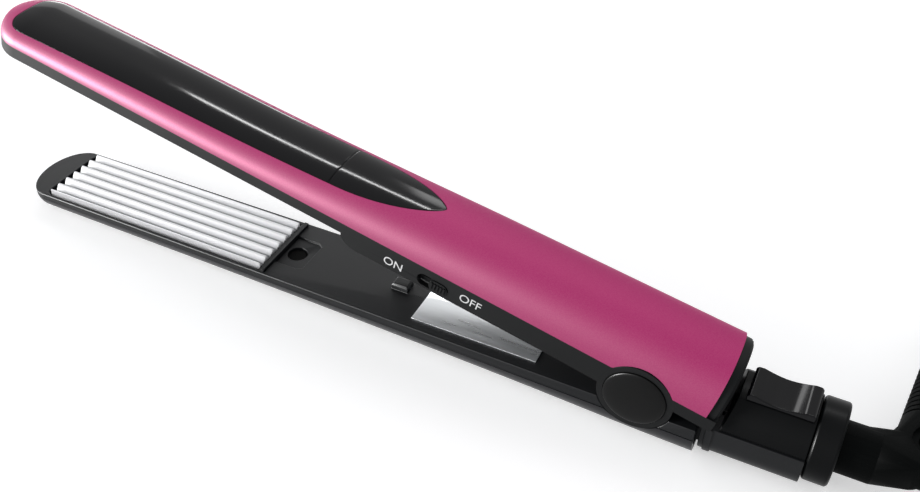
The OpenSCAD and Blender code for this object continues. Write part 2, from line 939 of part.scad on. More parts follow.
module rear_inlay() {
    color("#0b0b0d")
        on_upper()
            intersection() {
                inlay_layer();
                linear_extrude(60)
                    rear_inlay_plan(0);
            }
}

// Everything under the line where the cover meets the housing
module under_parting() {
    far = upper_reach + 20;
    near = 60;
    side_cut([
        [-far, parting(-far)], [-far, -30], [near, -30], [near, parting(near)]
    ], -40, 40);
}

module upper_cover() {
    color("#c8347f")
        on_upper()
            difference() {
                crown_loft(0, 2, cover_rear_x, crown_rows, crown_steps);
                crown_loft(upper_wall, 4, cover_rear_x + 1, 9, 10);
                under_parting();
                difference() {
                    linear_extrude(60)
                        union() {
                            front_inlay_plan(seam);
                            rear_inlay_plan(seam);
                        }
                    crown_loft(inlay_t + seam, 60, cover_rear_x + 1, crown_rows, crown_steps);
                }
                hinge_round(cheek_r + seam, -40, 40);
            }
}

// Side outline of the upper housing, from the tip to the rear rim
edge_line = concat(
    [[-upper_reach - 1, edge_tip], [-step_x, edge_step]],
    [for (i = [1:step_n])
        let (a = 90 * i / step_n)
        [-step_x + step_r * (1 - cos(a)), edge_step - (edge_step - edge_deep) * sin(a)]],
    [[-30, edge_hinge], [-9, edge_hinge + 0.2], [0, pivot_z], [9, rear_edge_z], [rim_rear_x, rear_edge_z]]
);
housing_outline = concat(
    edge_line,
    [[rim_rear_x, parting(rim_rear_x)], [-upper_reach - 1, parting(-upper_reach - 1)]]
);

// Side outline of the space over the tray's floors
tray_outline = [
    [-upper_reach, front_floor], [-edge_deep_x - 1, front_floor], [-edge_deep_x - 1, deep_floor],
    [pivot_open_rear - 1, deep_floor], [pivot_open_rear - 1, rear_floor], [rim_rear_x, rear_floor],
    [rim_rear_x, parting(cover_rear_x)], [cover_rear_x, parting(cover_rear_x)],
    [cover_rear_x, 40], [-upper_reach, 40]
];

module rim_step(x0, x1, inset, skirt) {
    along_x(x0, x1)
        polygon([for (q = crown_ring([cover_rear_x, 1], inset, skirt, 20)) [q[1], q[2]]]);
}

// Rear wall that closes the upper cover: a section of the crown with a stepped, rounded edge
module rear_rim() {
    difference() {
        union() {
            rim_step(cover_rear_x + 0.05, rim_rear_x - 0.9, rim_inset, 0.5);
            rim_step(rim_rear_x - 1, rim_rear_x - 0.4, rim_inset + 0.35, 0.5);
            rim_step(rim_rear_x - 0.5, rim_rear_x, rim_inset + 1, 0.5);
        }
        rim_step(cover_rear_x - 1, rim_rear_x - 2, upper_wall + rim_inset, 6);
    }
}

module upper_housing() {
    inner_tip = upper_reach - side_wall;
    color("#26282e")
        on_upper()
            difference() {
                union() {
                    intersection() {
                        arm_prism(upper_reach, upper_nose, rim_rear_x, 0, -20, 40);
                        union() {
                            side_cut(housing_outline, -40, 40);
                            hinge_round(cheek_r, -40, 40);
                        }
                    }
                    rear_rim();
                }
                // Inside of the tray, over its floors
                difference() {
                    intersection() {
                        arm_prism(inner_tip, upper_nose - side_wall, rim_rear_x - 2, side_wall, 0, 41);
                        side_cut(tray_outline, -40, 40);
                    }
                    hinge_cheeks();
                }
                // Underside between the deep side walls
                arm_prism(edge_deep_x + 3, 1, -pivot_open_front + 1, side_wall, -20, deep_recess);
                // Room round the hinge between the cheeks
                box(
                    [-pivot_open_front, -half_w_hinge + cheek_t, -20],
                    [pivot_open_rear, half_w_hinge - cheek_t, 40]
                );
                hinge_round(pin_r + pin_gap, -40, 40);
                on_both_sides()
                    hinge_round(cap_r + 0.2, half_w_hinge - cap_seat, 40);
                // Pocket for the plate frame
                frame_block(-20, upper_plate_top, 40, seam);
                translate([0, 0, upper_head_z - screw_head_t])
                    mirror([0, 0, 1])
                        screw_space(10);
                switch_slot();
                box(
                    [hook_x - seam, -hook_stem_half - seam, 0],
                    [hook_x + hook_stem_l + seam, hook_stem_half + seam, rear_floor + 0.1]
                );
            }
}

module hinge_cheeks() {
    on_both_sides()
        hinge_round(cheek_r, half_w_hinge - cheek_t, 40);
}

slot_z = 4.75;

module switch_slot() {
    hull()
        for (s = [-1, 1])
            translate([-switch_x + s * (slot_l - slot_h) / 2, -half_w(-switch_x) + side_wall + 0.1, slot_z])
                rotate([90, 0, 0])
                    cylinder(h = 10, r = slot_h / 2, $fn = 48);
}

module switch_slider() {
    wall_y = -half_w(-switch_x);
    inner_y = wall_y + side_wall;
    knob_l = slot_l - switch_travel - 2 * slide_gap;
    knob_x = -switch_x + switch_travel / 2 - knob_l / 2;
    knob_h = slot_h - 2 * slide_gap;
    rib_step = knob_l / 6;
    color("#1b1c20")
        on_upper() {
            hull()
                for (s = [0, 1])
                    translate([knob_x + knob_h / 2 + s * (knob_l - knob_h), inner_y - 0.1, slot_z])
                        rotate([90, 0, 0])
                            cylinder(h = side_wall + 0.2, r = knob_h / 2, $fn = 32);
            box(
                [knob_x + 1, inner_y - 0.5, deep_floor + slide_gap],
                [knob_x + knob_l - 1, inner_y + 0.3, slot_z + knob_h / 2 - 0.3]
            );
            for (i = [1:5])
                box(
                    [knob_x + i * rib_step - 0.25, wall_y - 0.8, slot_z - knob_h / 2 + 0.7],
                    [knob_x + i * rib_step + 0.25, wall_y, slot_z + knob_h / 2 - 0.7]
                );
            box(
                [knob_x - 0.8, inner_y + 0.2, deep_floor + slide_gap],
                [knob_x + knob_l + 0.8, inner_y + 0.8, slot_z + slot_h / 2 + 0.8]
            );
            box(
                [knob_x + knob_l / 2 - 1, inner_y + 0.7, deep_floor + 0.6],
                [knob_x + knob_l / 2 + 1, inner_y + 2.4, deep_floor + 1.8]
            );
        }
}

board_z = 8;
board_t = 1.6;
board_front = edge_deep_x - 4;
board_l = 52;
board_half = half_w_hinge - 4.9;
board_foot = 2;

module switch_body() {
    inner_y = -half_w(-switch_x) + side_wall;
    case_x = switch_x + 9;
    color("darkslategray")
        on_upper()
            difference() {
                box([-case_x, inner_y + 1.1, deep_floor], [-case_x + 18, inner_y + 8, board_z]);
                box(
                    [-switch_x - 4.5, inner_y, deep_floor + 0.3],
                    [-switch_x + 4.5, inner_y + 2.8, deep_floor + 2.1]
                );
            }
}

module circuit_board() {
    color("seagreen")
        on_upper() {
            box(
                [-board_front, -board_half, board_z],
                [-board_front + board_l, board_half, board_z + board_t]
            );
            // Feet that stand on the housing's floor
            for (x = [board_foot, board_l - 2 * board_foot])
                for (y = [-board_half + board_foot, board_half - 2 * board_foot])
                    translate([-board_front + x, y, deep_floor])
                        cube([board_foot, board_foot, board_z - deep_floor]);
            // Capacitor and control chip
            translate([-board_front + 38, 3, board_z + board_t])
                cylinder(h = 5, r = 4, $fn = fine);
            translate([-board_front + 20, -6, board_z + board_t])
                cube([10, 8, 3.5]);
        }
}

// Domed cap: a flat rim and a low spherical face
module pivot_cap() {
    seat = half_w_hinge - cap_seat + 0.05;
    face = half_w_hinge + cap_proud;
    rise = 0.9;
    dome = [for (i = [0:8])
        let (t = i / 8)
        [cap_r * cos(90 * t), face - rise + rise * sin(90 * t)]];
    translate([0, 0, pivot_z])
        rotate([-90, 0, 0])
            rotate_extrude($fn = fine)
                polygon(concat([[0, seat], [cap_r, seat]], dome));
}

module pivot_cap_near() {
    color("#101114")
        on_upper()
            mirror([0, 1, 0])
                pivot_cap();
}

module pivot_cap_far() {
    color("#101114")
        on_upper()
            pivot_cap();
}

module lock_catch() {
    color("#26282e")
        on_upper() {
            // Hook that the tongue slides under when the arms are shut
            box([hook_x, -tongue_half, hook_low], [hook_x + hook_l, tongue_half, hook_low + hook_t]);
            box(
                [hook_x, -hook_stem_half, hook_low],
                [hook_x + hook_stem_l, hook_stem_half, rear_floor + 1]
            );
            // Head that rests on the housing's rear floor
            box(
                [hook_x - 1.5, -tongue_half, rear_floor],
                [hook_x + hook_stem_l + 1, tongue_half, rear_floor + 1]
            );
        }
}

module lock_slider() {
    top = land_z + 2.5;
    dip = 1.3;
    low = land_z + 0.1;
    saddle = [for (i = [0:12])
        let (t = i / 12)
        [lock_x + lock_l - 2.4 - t * (lock_l - 4.8), top - dip * sin(180 * t)]];
    outline = concat(
        [[lock_x, low], [lock_x + lock_l, low], [lock_x + lock_l, top - 0.7]],
        [[lock_x + lock_l - 0.7, top]],
        saddle,
        [[lock_x + 0.7, top], [lock_x, top - 0.7]]
    );
    color("#08080a")
        on_deck() {
            side_cut(outline, -6.4, 6.4);
            box([stem_x, -stem_half, tongue_low], [stem_x + stem_l, stem_half, low + 0.1]);
            box(
                [tongue_tip, -tongue_half, tongue_low],
                [stem_x + stem_l, tongue_half, tongue_low + tongue_t]
            );
        }
}

// Swivelling elbow with its eye and ribbed relief
module cord_boot() {
    axis_z = -collar_drop;
    rib_step = (relief_end - relief_y) / rib_count;
    ribs = [for (i = [0:rib_count - 1])
        let (
            y = relief_y + i * rib_step,
            r = relief_r0 + (relief_r1 - relief_r0) * i / rib_count
        )
        each [[r, y], [r, y + 0.6 * rib_step], [r - 0.6, y + 0.7 * rib_step], [r - 0.6, y + 0.95 * rib_step]]];
    color("#17181c")
        on_deck()
            difference() {
                union() {
                    collar_turned([
                        [0, barrel_x], [spigot_r - 0.3, barrel_x], [spigot_r - 0.3, barrel_x + flange_t],
                        [barrel_r, barrel_x + flange_t], [barrel_r, 68], [0, 68]
                    ]);
                    hull() {
                        translate([64, 0, axis_z])
                            rotate([0, 90, 0])
                                cylinder(h = 4, r = barrel_r, $fn = 32);
                        translate([76, 3, axis_z - eye_t / 2])
                            cylinder(h = eye_t, r = 7, $fn = 32);
                    }
                    translate([eye_x, eye_y, axis_z])
                        rotate_extrude($fn = fine)
                            polygon([
                                [0, -eye_t / 2], [eye_rim - 2, -eye_t / 2], [eye_rim - 0.6, -eye_t / 2 + 0.8],
                                [eye_rim, -eye_t / 2 + 2.4], [eye_rim, eye_t / 2 - 2.4],
                                [eye_rim - 0.6, eye_t / 2 - 0.8], [eye_rim - 2, eye_t / 2], [0, eye_t / 2]
                            ]);
                    hull() {
                        translate([relief_x, relief_y + 1, axis_z])
                            rotate([90, 0, 0])
                                cylinder(h = 1, r = relief_r0, $fn = 32);
                        translate([77, 6, axis_z - eye_t / 2])
                            cylinder(h = eye_t, r = 6, $fn = 32);
                    }
                    translate([relief_x, 0, axis_z])
                        rotate([-90, 0, 0])
                            rotate_extrude($fn = fine)
                                polygon(concat(
                                    [[0, relief_y]],
                                    ribs,
                                    [[relief_r1, relief_end - 0.1], [relief_r1, relief_end], [0, relief_end]]
                                ));
                }
                translate([eye_x, eye_y, axis_z - 20])
                    cylinder(h = 40, r = eye_r, $fn = fine);
                for (s = [0, 1])
                    mirror([0, 0, s])
                        translate([eye_x, eye_y, (s == 0 ? axis_z : -axis_z) + eye_t / 2])
                            cylinder(h = 20, r = eye_r + 2, $fn = fine);
                // The leads come in through the hollow barrel
                translate([barrel_x - 1, 0, axis_z])
                    rotate([0, 90, 0])
                        cylinder(h = 12, r = 4, $fn = fine);
            }
}

// Cord route. Points after the first are in the table frame.
cord_exit = to_table([relief_x, relief_end, -collar_drop]);
lead_points = [
    [167, 64, 12], [170.5, 72, 8.5], [178, 78.5, 5], [190, 80.5, 3], [206, 78, 2.6], [222, 75.6, 2.6]
];
end_points = [
    [252.6, 71.2, 11.8], [259, 66.4, 14.6], [261.8, 60.6, 16.9]
];

// Smooth curve through chosen points, three steps to a span
function spline(p, i, t) =
    let (
        a = p[max(i - 1, 0)],
        b = p[i],
        c = p[i + 1],
        d = p[min(i + 2, len(p) - 1)]
    )
    b + t * (c - a) / 2 + t * t * (a - 2.5 * b + 2 * c - d / 2) + t * t * t * (1.5 * (b - c) + (d - a) / 2);
function smooth(p, steps) = concat(
    [for (i = [0:len(p) - 2]) for (k = [0:steps - 1]) spline(p, i, k / steps)],
    [p[len(p) - 1]]
);

// Coil of two layers: it spirals in, climbs where it turns back, and spirals out above
function coil_radius(u) = coil_r + coil_step * max(abs(u - coil_loops), turn_back);
function coil_height(u) =
    coil_z + layer_step * min(1, max(0, (u - coil_loops + turn_back) / (2 * turn_back)));
function coil_point(u) = [
    coil_at[0] + coil_radius(u) * sin(360 * u),
    coil_at[1] + coil_radius(u) * cos(360 * u),
    coil_height(u)
];
coil_start = coil_point(0) - [cord_d, 0, 0];
coil_stop = coil_point(coil_turns) + [cord_d, 0, 0];
coil_path = concat(
    [coil_start],
    [for (i = [0:coil_turns * loop_rings]) coil_point(i / loop_rings)],
    [coil_stop]
);
lead_path = concat(
    [cord_exit, cord_exit + [0, cord_d, 0]],
    smooth(concat([cord_exit + [0, 1.4 * cord_d, 0]], lead_points, [coil_start - [1.4 * cord_d, 0, 0]]), 3),
    [coil_start - [cord_d, 0, 0], coil_start]
);
plug_entry = plug_at + [0, plug_neck_l, 0];
end_path = concat(
    [coil_stop, coil_stop + [cord_d, 0, 0]],
    smooth(concat([coil_stop + [1.2 * cord_d, 0, 0]], end_points, [plug_entry + [0, 1.2 * cord_d, 0]]), 3),
    [plug_entry + [0, cord_d, 0], plug_entry]
);
function steps_of(p) = [for (i = [1:len(p) - 1]) norm(p[i] - p[i - 1])];
function total(p) = steps_of(p) * [for (i = [1:len(p) - 1]) 1];
coil_gap = min([for (i = [0:len(coil_path) - 1]) for (j = [i + 12:1:len(coil_path) - 1])
    norm(coil_path[i] - coil_path[j])]) - cord_d;
echo(coil_least_gap = coil_gap);
echo(cord_length = total(lead_path) + total(coil_path) + total(end_path));

module cord_lead() {
    color("#202126")
        tube(lead_path, cord_d / 2, cord_sides, [0, 0, 1]);
}

module cord_coil() {
    color("#202126")
        tube(coil_path, cord_d / 2, loop_sides, [0, 0, 1]);
}

module cord_end() {
    color("#202126")
        tube(end_path, cord_d / 2, cord_sides, [0, 0, 1]);
}

module plug_section(grow) {
    offset(r = 4, $fn = 32)
        square([2 * (plug_half_w + grow) - 8, 2 * (plug_half_h + grow) - 8], center = true);
}

module plug_placed() {
    translate(plug_at)
        rotate([0, 0, 90])
            children();
}

module plug_body() {
    color("#202126")
        plug_placed() {
            rotate([0, 90, 0])
                cylinder(h = plug_neck_l, r1 = 4.6, r2 = 3.4, $fn = fine);
            difference() {
                translate([-plug_l, 0, 0])
                    rotate([90, 0, 90])
                        linear_extrude(plug_l)
                            plug_section(0);
                for (s = [-1, 1])
                    translate([0, s * 27, -20])
                        cylinder(h = 40, r = 16, $fn = fine);
                for (s = [-1, 1])
                    translate([-plug_l - 1, s * plug_pitch / 2, 0])
                        rotate([0, 90, 0])
                            cylinder(h = plug_root_l + 1, r = plug_root_r, $fn = fine);
            }
        }
}

// One pin, from its blunt point to the root inside the plug
module plug_pin() {
    point_r = plug_pin_d / 2 - plug_point;
    cylinder(h = plug_point, r1 = point_r, r2 = plug_pin_d / 2, $fn = fine);
    translate([0, 0, plug_point])
        cylinder(h = plug_pin_l - plug_point, r = plug_pin_d / 2, $fn = fine);
    translate([0, 0, plug_pin_l - 0.1])
        cylinder(h = plug_root_l + 0.1, r = plug_root_r, $fn = fine);
}

module plug_pins() {
    color("silver")
        plug_placed()
            for (s = [-1, 1])
                translate([-plug_l - plug_pin_l, s * plug_pitch / 2, 0])
                    rotate([0, 90, 0])
                        plug_pin();
}

lower_cover();
lower_housing();
lower_plate_frame();
lower_crimp_plate();
lower_heater();
lower_heater_clip();
lower_screw();
rating_label();
tail_top();
tail_collar();
hinge_pin();
return_spring();
upper_cover();
front_inlay();
rear_inlay();
upper_housing();
upper_plate_frame();
upper_crimp_plate();
upper_heater();
upper_heater_clip();
upper_screw();
switch_body();
circuit_board();
pivot_cap_near();
pivot_cap_far();
lock_catch();
switch_slider();
lock_slider();
cord_boot();
cord_lead();
cord_coil();
cord_end();
plug_body();
plug_pins();
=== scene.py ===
import json
import math

import bmesh
import bpy
import numpy as np
from mathutils import Matrix, Vector


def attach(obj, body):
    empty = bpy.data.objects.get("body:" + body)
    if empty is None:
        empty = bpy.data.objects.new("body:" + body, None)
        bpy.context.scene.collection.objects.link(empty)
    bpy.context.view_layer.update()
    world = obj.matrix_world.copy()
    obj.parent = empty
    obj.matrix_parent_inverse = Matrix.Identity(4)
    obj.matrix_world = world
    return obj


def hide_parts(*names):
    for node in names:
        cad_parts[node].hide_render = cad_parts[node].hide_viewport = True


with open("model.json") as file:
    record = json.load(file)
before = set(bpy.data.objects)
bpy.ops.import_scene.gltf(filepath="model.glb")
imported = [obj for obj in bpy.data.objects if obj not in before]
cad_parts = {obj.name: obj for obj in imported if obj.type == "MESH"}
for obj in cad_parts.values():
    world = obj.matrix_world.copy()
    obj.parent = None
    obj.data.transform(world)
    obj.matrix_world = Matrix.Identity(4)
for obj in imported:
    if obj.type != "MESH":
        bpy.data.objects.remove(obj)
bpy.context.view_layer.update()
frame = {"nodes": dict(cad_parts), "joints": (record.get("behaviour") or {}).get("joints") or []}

# %% [markdown]
# A hair crimper is two long arms on one hinge. Each arm is a closed housing with a ribbed
# plate let into its face, and the upper arm wears a pearl-pink cover with gloss black inlays.
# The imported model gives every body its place. This script dresses it: the big curved shells
# are worked out again on fine grids, and every surface gets a finish of its own.

# %% Sizes of the arms, in millimetres
MM = 0.001
REACH, UPPER_REACH = 234.0, 239.0  # from the hinge to the tips of the lower and the upper arm
LOWER_NOSE, UPPER_NOSE = 10.0, 12.5  # lengths of the rounded tips
HALF_TIP, HALF_HINGE = 14.6, 15.9  # half widths of both arms
DEPTH_TIP, DEPTH_HINGE = 8.1, 13.6  # the lower arm, under the deck
PART_TIP, PART_HINGE = 5.7, 11.5  # the upper arm's parting line, over the deck
LOW_PART_TIP, LOW_PART_HINGE = 2.0, 4.1  # the lower arm's parting line, under the deck
PIVOT_Z = 4.6  # the hinge axis, over the deck
OPEN = math.radians(14.0)
LEAN = math.atan((DEPTH_HINGE - DEPTH_TIP) / REACH)
SEAM = 0.1
UPPER_WALL, LOWER_WALL = 2.4, 1.8
COVER_REAR, KEEL_REAR = 19.9, 19.2  # ends of the two covers behind the hinge
CHEEK_R = 11.7  # the round cheeks of the hinge
hinge = next(j for j in frame["joints"] if j["name"] == "arm_hinge")["pos_m"]
X_SHIFT = hinge[0] / MM + PIVOT_Z * math.sin(LEAN)
print("hinge axis at", [round(v, 4) for v in hinge])

# %% [markdown]
# Two frames make the arms easy to describe. The deck frame has its origin under the hinge on
# the lower arm's flat face, with x negative towards the tips. The upper arm is described shut
# on that deck, and then opened about the hinge pin. Both end in the row's own frame.


# %% Frames of the two arms
def deck(p):
    """Deck frame to row frame: the arm's taper turn, a lift, and millimetres to metres."""
    x, y, z = p[..., 0], p[..., 1], p[..., 2]
    c, s = math.cos(LEAN), math.sin(LEAN)
    return np.stack([X_SHIFT + x * c - z * s, y, DEPTH_HINGE + x * s + z * c], -1) * MM


def opened(p):
    """Shut upper arm to row frame: a turn about the hinge pin by the opening angle, then deck."""
    x, y, z = p[..., 0], p[..., 1], p[..., 2] - PIVOT_Z
    c, s = math.cos(OPEN), math.sin(OPEN)
    return deck(np.stack([x * c + z * s, y, PIVOT_Z - x * s + z * c], -1))


def straight(x, tip, at_hinge):
    """Line along an arm: its value at the tip and at the hinge."""
    return at_hinge + x * (at_hinge - tip) / REACH


def half_width(x):
    """Half width of both arms."""
    return straight(x, HALF_TIP, HALF_HINGE)


def parting(x):
    """Height of the line where the pink cover meets the upper housing."""
    return straight(x, PART_TIP, PART_HINGE)


def smooth_lookup(x, knots, values):
    """Cubic through a table: Hermite pieces whose slopes are those of the table's neighbours."""
    k, v = np.array(knots, float), np.array(values, float)
    slope = np.gradient(v, k)
    x = np.clip(x, k[0], k[-1])
    i = np.clip(np.searchsorted(k, x) - 1, 0, len(k) - 2)
    h = k[i + 1] - k[i]
    t = (x - k[i]) / h
    return (
        (1 + 2 * t) * (1 - t) ** 2 * v[i]
        + t * (1 - t) ** 2 * h * slope[i]
        + t * t * (3 - 2 * t) * v[i + 1]
        - t * t * (1 - t) * h * slope[i + 1]
    )


# %% [markdown]
# Both arms swell towards the hinge, not evenly but as the hand wants it. A few heights along the
# arm say how, and a smooth curve through them fills in the rest.

# %% Heights along the arms
# The crown's height over its parting line, and the radius of the keel's lower corners.
CROWN_KNOTS = [-234, -196, -133, -96, -60, -26, 0, 26]
CROWN_HEIGHTS = [5.5, 6.7, 7.8, 9.6, 11.7, 13.1, 14.1, 15.1]
KEEL_KNOTS = [-234, -97, -33, 0, 30]
KEEL_RADII = [7.3, 10.6, 10.4, 9.5, 9.5]
LEAST_SHARE = 4e-3  # the foremost row keeps a little width, so that its faces stay apart


def nose_share(x, reach, nose):
    """Share of the full width in the rounded nose: a quarter ellipse seen from above."""
    u = np.clip(1 - (x + reach) / nose, 0, 1)
    return np.maximum(np.sqrt(1 - u * u), LEAST_SHARE)


# %% [markdown]
# The camera stands high and to the near side, with the tips far off to the left. Its place,
# turn and lens come first, because the free cord must be put away outside its view.


# %% Camera
def linked(name, data):
    """New object that shows the data, linked into the scene."""
    item = bpy.data.objects.new(name, data)
    bpy.context.scene.collection.objects.link(item)
    return item


# In the deck frame: the eye, and its right, down and forward directions as columns.
DECK_EYE = np.array([39.231, -231.823, 233.208])
EYE_AXES = np.array([
    [0.90183, 0.29432, -0.31636],
    [0.43100, -0.56071, 0.70699],
    [0.03070, -0.77394, -0.63252],
])
FOCAL_PX, IMAGE_PX, SENSOR = 1062.94, 920, 36.0
c, s = math.cos(LEAN), math.sin(LEAN)
to_row = np.array([[c, 0, -s], [0, 1, 0], [s, 0, c]])
axes = to_row @ EYE_AXES
camera_data = bpy.data.cameras.new("camera")
camera_data.lens = FOCAL_PX * SENSOR / IMAGE_PX
camera_data.sensor_width = SENSOR
camera_data.sensor_fit = "HORIZONTAL"
camera_data.clip_start, camera_data.clip_end = 0.01, 20
camera = linked("camera", camera_data)
pose = Matrix.Identity(4)
pose.col[0][:3] = axes[:, 0]
pose.col[1][:3] = -axes[:, 1]
pose.col[2][:3] = -axes[:, 2]
pose.col[3][:3] = deck(DECK_EYE)
camera.matrix_world = pose
bpy.context.scene.camera = camera
bpy.context.scene.view_settings.view_transform = "Standard"
print("camera at", [round(v, 4) for v in camera.location], "lens", round(camera_data.lens, 2))

# %% [markdown]
# Every new surface is a grid of points. Rows run along the piece and columns run round it, so
# the faces follow from the grid's shape alone and no face has to be listed by hand.


# %% Grids into meshes
SHARP = math.radians(32)
MERGE = 2e-6
SPUN_SIDES = 128


def cell_faces(rows, columns, wrap=False, flip=False, start=0):
    """Four corners of every cell of a grid. wrap joins the last column to the first."""
    last = columns if wrap else columns - 1
    i, j = np.meshgrid(np.arange(rows - 1), np.arange(last), indexing="ij")
    k = (j + 1) % columns
    low, high = i * columns, (i + 1) * columns
    quads = np.stack([low + j, low + k, high + k, high + j], -1).reshape(-1, 4) + start
    return quads[:, ::-1] if flip else quads


def add_mesh(name, points, faces, body):
    """Closed mesh from points in metres: merged, turned outwards, smooth but for sharp edges."""
    mesh = bpy.data.meshes.new(name)
    corners = [list(map(int, face)) for face in faces]
    mesh.from_pydata(np.asarray(points).reshape(-1, 3).tolist(), [], corners)
    mesh.validate()
    work = bmesh.new()
    work.from_mesh(mesh)
    bmesh.ops.remove_doubles(work, verts=work.verts, dist=MERGE)
    bmesh.ops.recalc_face_normals(work, faces=work.faces)
    if work.calc_volume(signed=True) < 0:
        bmesh.ops.reverse_faces(work, faces=work.faces)
    work.to_mesh(mesh)
    work.free()
    mesh.shade_smooth()
    mesh.set_sharp_from_angle(angle=SHARP)
    piece = linked(name, mesh)
    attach(piece, body)
    return piece


def thick_skin(name, outer, inner, body):
    """Closed shell between two grids: both grids, and strips that join their borders."""
    rows, columns = outer.shape[:2]
    count = rows * columns
    border = np.concatenate([
        np.arange(columns),
        np.arange(1, rows) * columns + columns - 1,
        (rows - 1) * columns + np.arange(columns - 2, -1, -1),
        np.arange(rows - 2, 0, -1) * columns,
    ])
    after = np.roll(border, -1)
    strip = np.stack([border, border + count, after + count, after], -1)
    inner_faces = cell_faces(rows, columns, flip=True, start=count)
    faces = np.concatenate([cell_faces(rows, columns), inner_faces, strip])
    points = np.concatenate([outer.reshape(-1, 3), inner.reshape(-1, 3)])
    return add_mesh(name, points, faces, body)


def spun(name, profile, place, body):
    """Turned piece: a profile of [radius, height] carried round its axis, then placed."""
    turn = np.linspace(0, 2 * math.pi, SPUN_SIDES, endpoint=False)[None, :]
    radius, height = profile[:, 0, None], profile[:, 1, None]
    grid = np.stack([radius * np.cos(turn), radius * np.sin(turn), height + 0 * turn], -1)
    return add_mesh(name, place(grid), cell_faces(len(profile), SPUN_SIDES, wrap=True), body)


# %% [markdown]
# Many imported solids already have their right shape, but moulded edges are never knife sharp: each
# has a small radius that catches a thin line of light. A copy of the solid is merged into one
# surface and a bevel rounds its edges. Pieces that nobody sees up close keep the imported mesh.


# %% Eased edges
EDGE_ANGLE = math.radians(30)
FLAT_ANGLE = math.radians(0.6)
SOLID_MERGE = 3e-6


def eased(node, body, width, segments=2):
    """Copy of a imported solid, with its sharp edges rounded to a radius in millimetres."""
    mesh = frame["nodes"][node].data.copy()
    work = bmesh.new()
    work.from_mesh(mesh)
    bmesh.ops.remove_doubles(work, verts=work.verts, dist=SOLID_MERGE)
    bmesh.ops.dissolve_limit(work, angle_limit=FLAT_ANGLE, verts=work.verts, edges=work.edges)
    work.to_mesh(mesh)
    work.free()
    mesh.shade_smooth()
    mesh.set_sharp_from_angle(angle=EDGE_ANGLE)
    piece = linked(node + "_eased", mesh)
    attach(piece, body)
    bevel = piece.modifiers.new("edge", "BEVEL")
    bevel.width = width * MM
    bevel.segments = segments
    bevel.limit_method = "ANGLE"
    bevel.angle_limit = EDGE_ANGLE
    bevel.harden_normals = True
    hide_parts(node)
    return piece


# %% [markdown]
# The cord leaves the swivelling elbow through a ribbed sleeve and runs out of view. What the
# view doesn't show is wound into a flat coil of two layers behind the tool, with the plug
# lying on it. One smooth curve carries a round section from the sleeve to the plug.

# %% Cord route, in millimetres of the row frame
CORD_D = 5.0
COIL_R, COIL_STEP, COIL_LOOPS = 19.0, 6.0, 4  # innermost radius, growth per turn, turns per layer
COIL_LIFT, LAYER_GAP = 0.1, 1.0  # under the lower layer, and between the two
TURN_BACK = 0.125  # share of a turn that climbs from layer to layer, on either side of the middle
STEPS_PER_TURN, CURVE_STEPS = 48, 8
COIL_AT = np.array([238.0, 30.0])
PLUG_ENTRY = np.array([262.0, 50.0, 17.7])
cord_exit = deck(np.array([79.2, 50.0, -1.9])) / MM
LEAD = [
    [167, 64, 12], [170.5, 72, 8.5], [178, 78.5, 5], [190, 80.5, 3], [206, 77.9, 2.6],
    [220, 75.1, 2.6],
]
END = [[253, 71.2, 11.0], [258.8, 66.6, 14.4], [261.6, 60.8, 16.9]]


def curve_through(points, steps):
    """Catmull-Rom curve: each span is a cubic whose end slopes come from its neighbours."""
    p = np.array(points, float)
    a, b, c, d = p[np.r_[0, 0:len(p) - 2]], p[:-1], p[1:], p[np.r_[2:len(p), len(p) - 1]]
    t = (np.arange(steps) / steps)[None, :, None]
    a, b, c, d = (q[:, None, :] for q in (a, b, c, d))
    slope = t * (c - a) / 2
    bend = t**2 * (a - 2.5 * b + 2 * c - d / 2)
    curve = b + slope + bend + t**3 * (1.5 * (b - c) + (d - a) / 2)
    return np.concatenate([curve.reshape(-1, 3), p[-1:]])


def coil_points(turns):
    """Two flat layers: the radius falls to the middle turn, then grows again one cord higher."""
    radius = COIL_R + COIL_STEP * np.maximum(np.abs(turns - COIL_LOOPS), TURN_BACK)
    climb = np.clip((turns - COIL_LOOPS + TURN_BACK) / (2 * TURN_BACK), 0, 1)
    angle = 2 * math.pi * turns
    return np.stack([
        COIL_AT[0] + radius * np.sin(angle),
        COIL_AT[1] + radius * np.cos(angle),
        CORD_D / 2 + COIL_LIFT + (CORD_D + LAYER_GAP) * climb,
    ], -1)


coil = coil_points(np.linspace(0, 2 * COIL_LOOPS, 2 * COIL_LOOPS * STEPS_PER_TURN + 1))
aside, back = np.array([CORD_D, 0, 0]), np.array([0, CORD_D, 0])  # short straight starts and ends
coil_start, coil_stop = coil[0] - aside, coil[-1] + aside
lead = [cord_exit, cord_exit + back, *LEAD, coil_start - aside, coil_start]
end = [coil_stop, coil_stop + aside, *END, PLUG_ENTRY + back, PLUG_ENTRY]
route = np.concatenate([curve_through(lead, CURVE_STEPS), coil, curve_through(end, CURVE_STEPS)])


# %% [markdown]
# The sheath of a mains cord is rubber pressed round two wires, the same all along. So a circle
# carried along the route makes it: at each point the circle stands square to the way ahead.


# %% Cord
def tube(name, path, radius, sides, body):
    """Tube: a circle carried along a path, square to it, its first corner kept to one side."""
    heading = np.gradient(path, axis=0)
    heading /= np.linalg.norm(heading, axis=1, keepdims=True)
    side = np.cross(heading, [0, 0, 1.0])
    side /= np.linalg.norm(side, axis=1, keepdims=True)
    top = np.cross(side, heading)
    angle = np.linspace(0, 2 * math.pi, sides, endpoint=False)[None, :, None]
    spokes = np.cos(angle) * side[:, None, :] + np.sin(angle) * top[:, None, :]
    faces = cell_faces(len(path), sides, wrap=True).tolist()
    faces += [list(range(sides)), [(len(path) - 1) * sides + k for k in range(sides)][::-1]]
    return add_mesh(name, (path[:, None, :] + radius * spokes) * MM, faces, body)


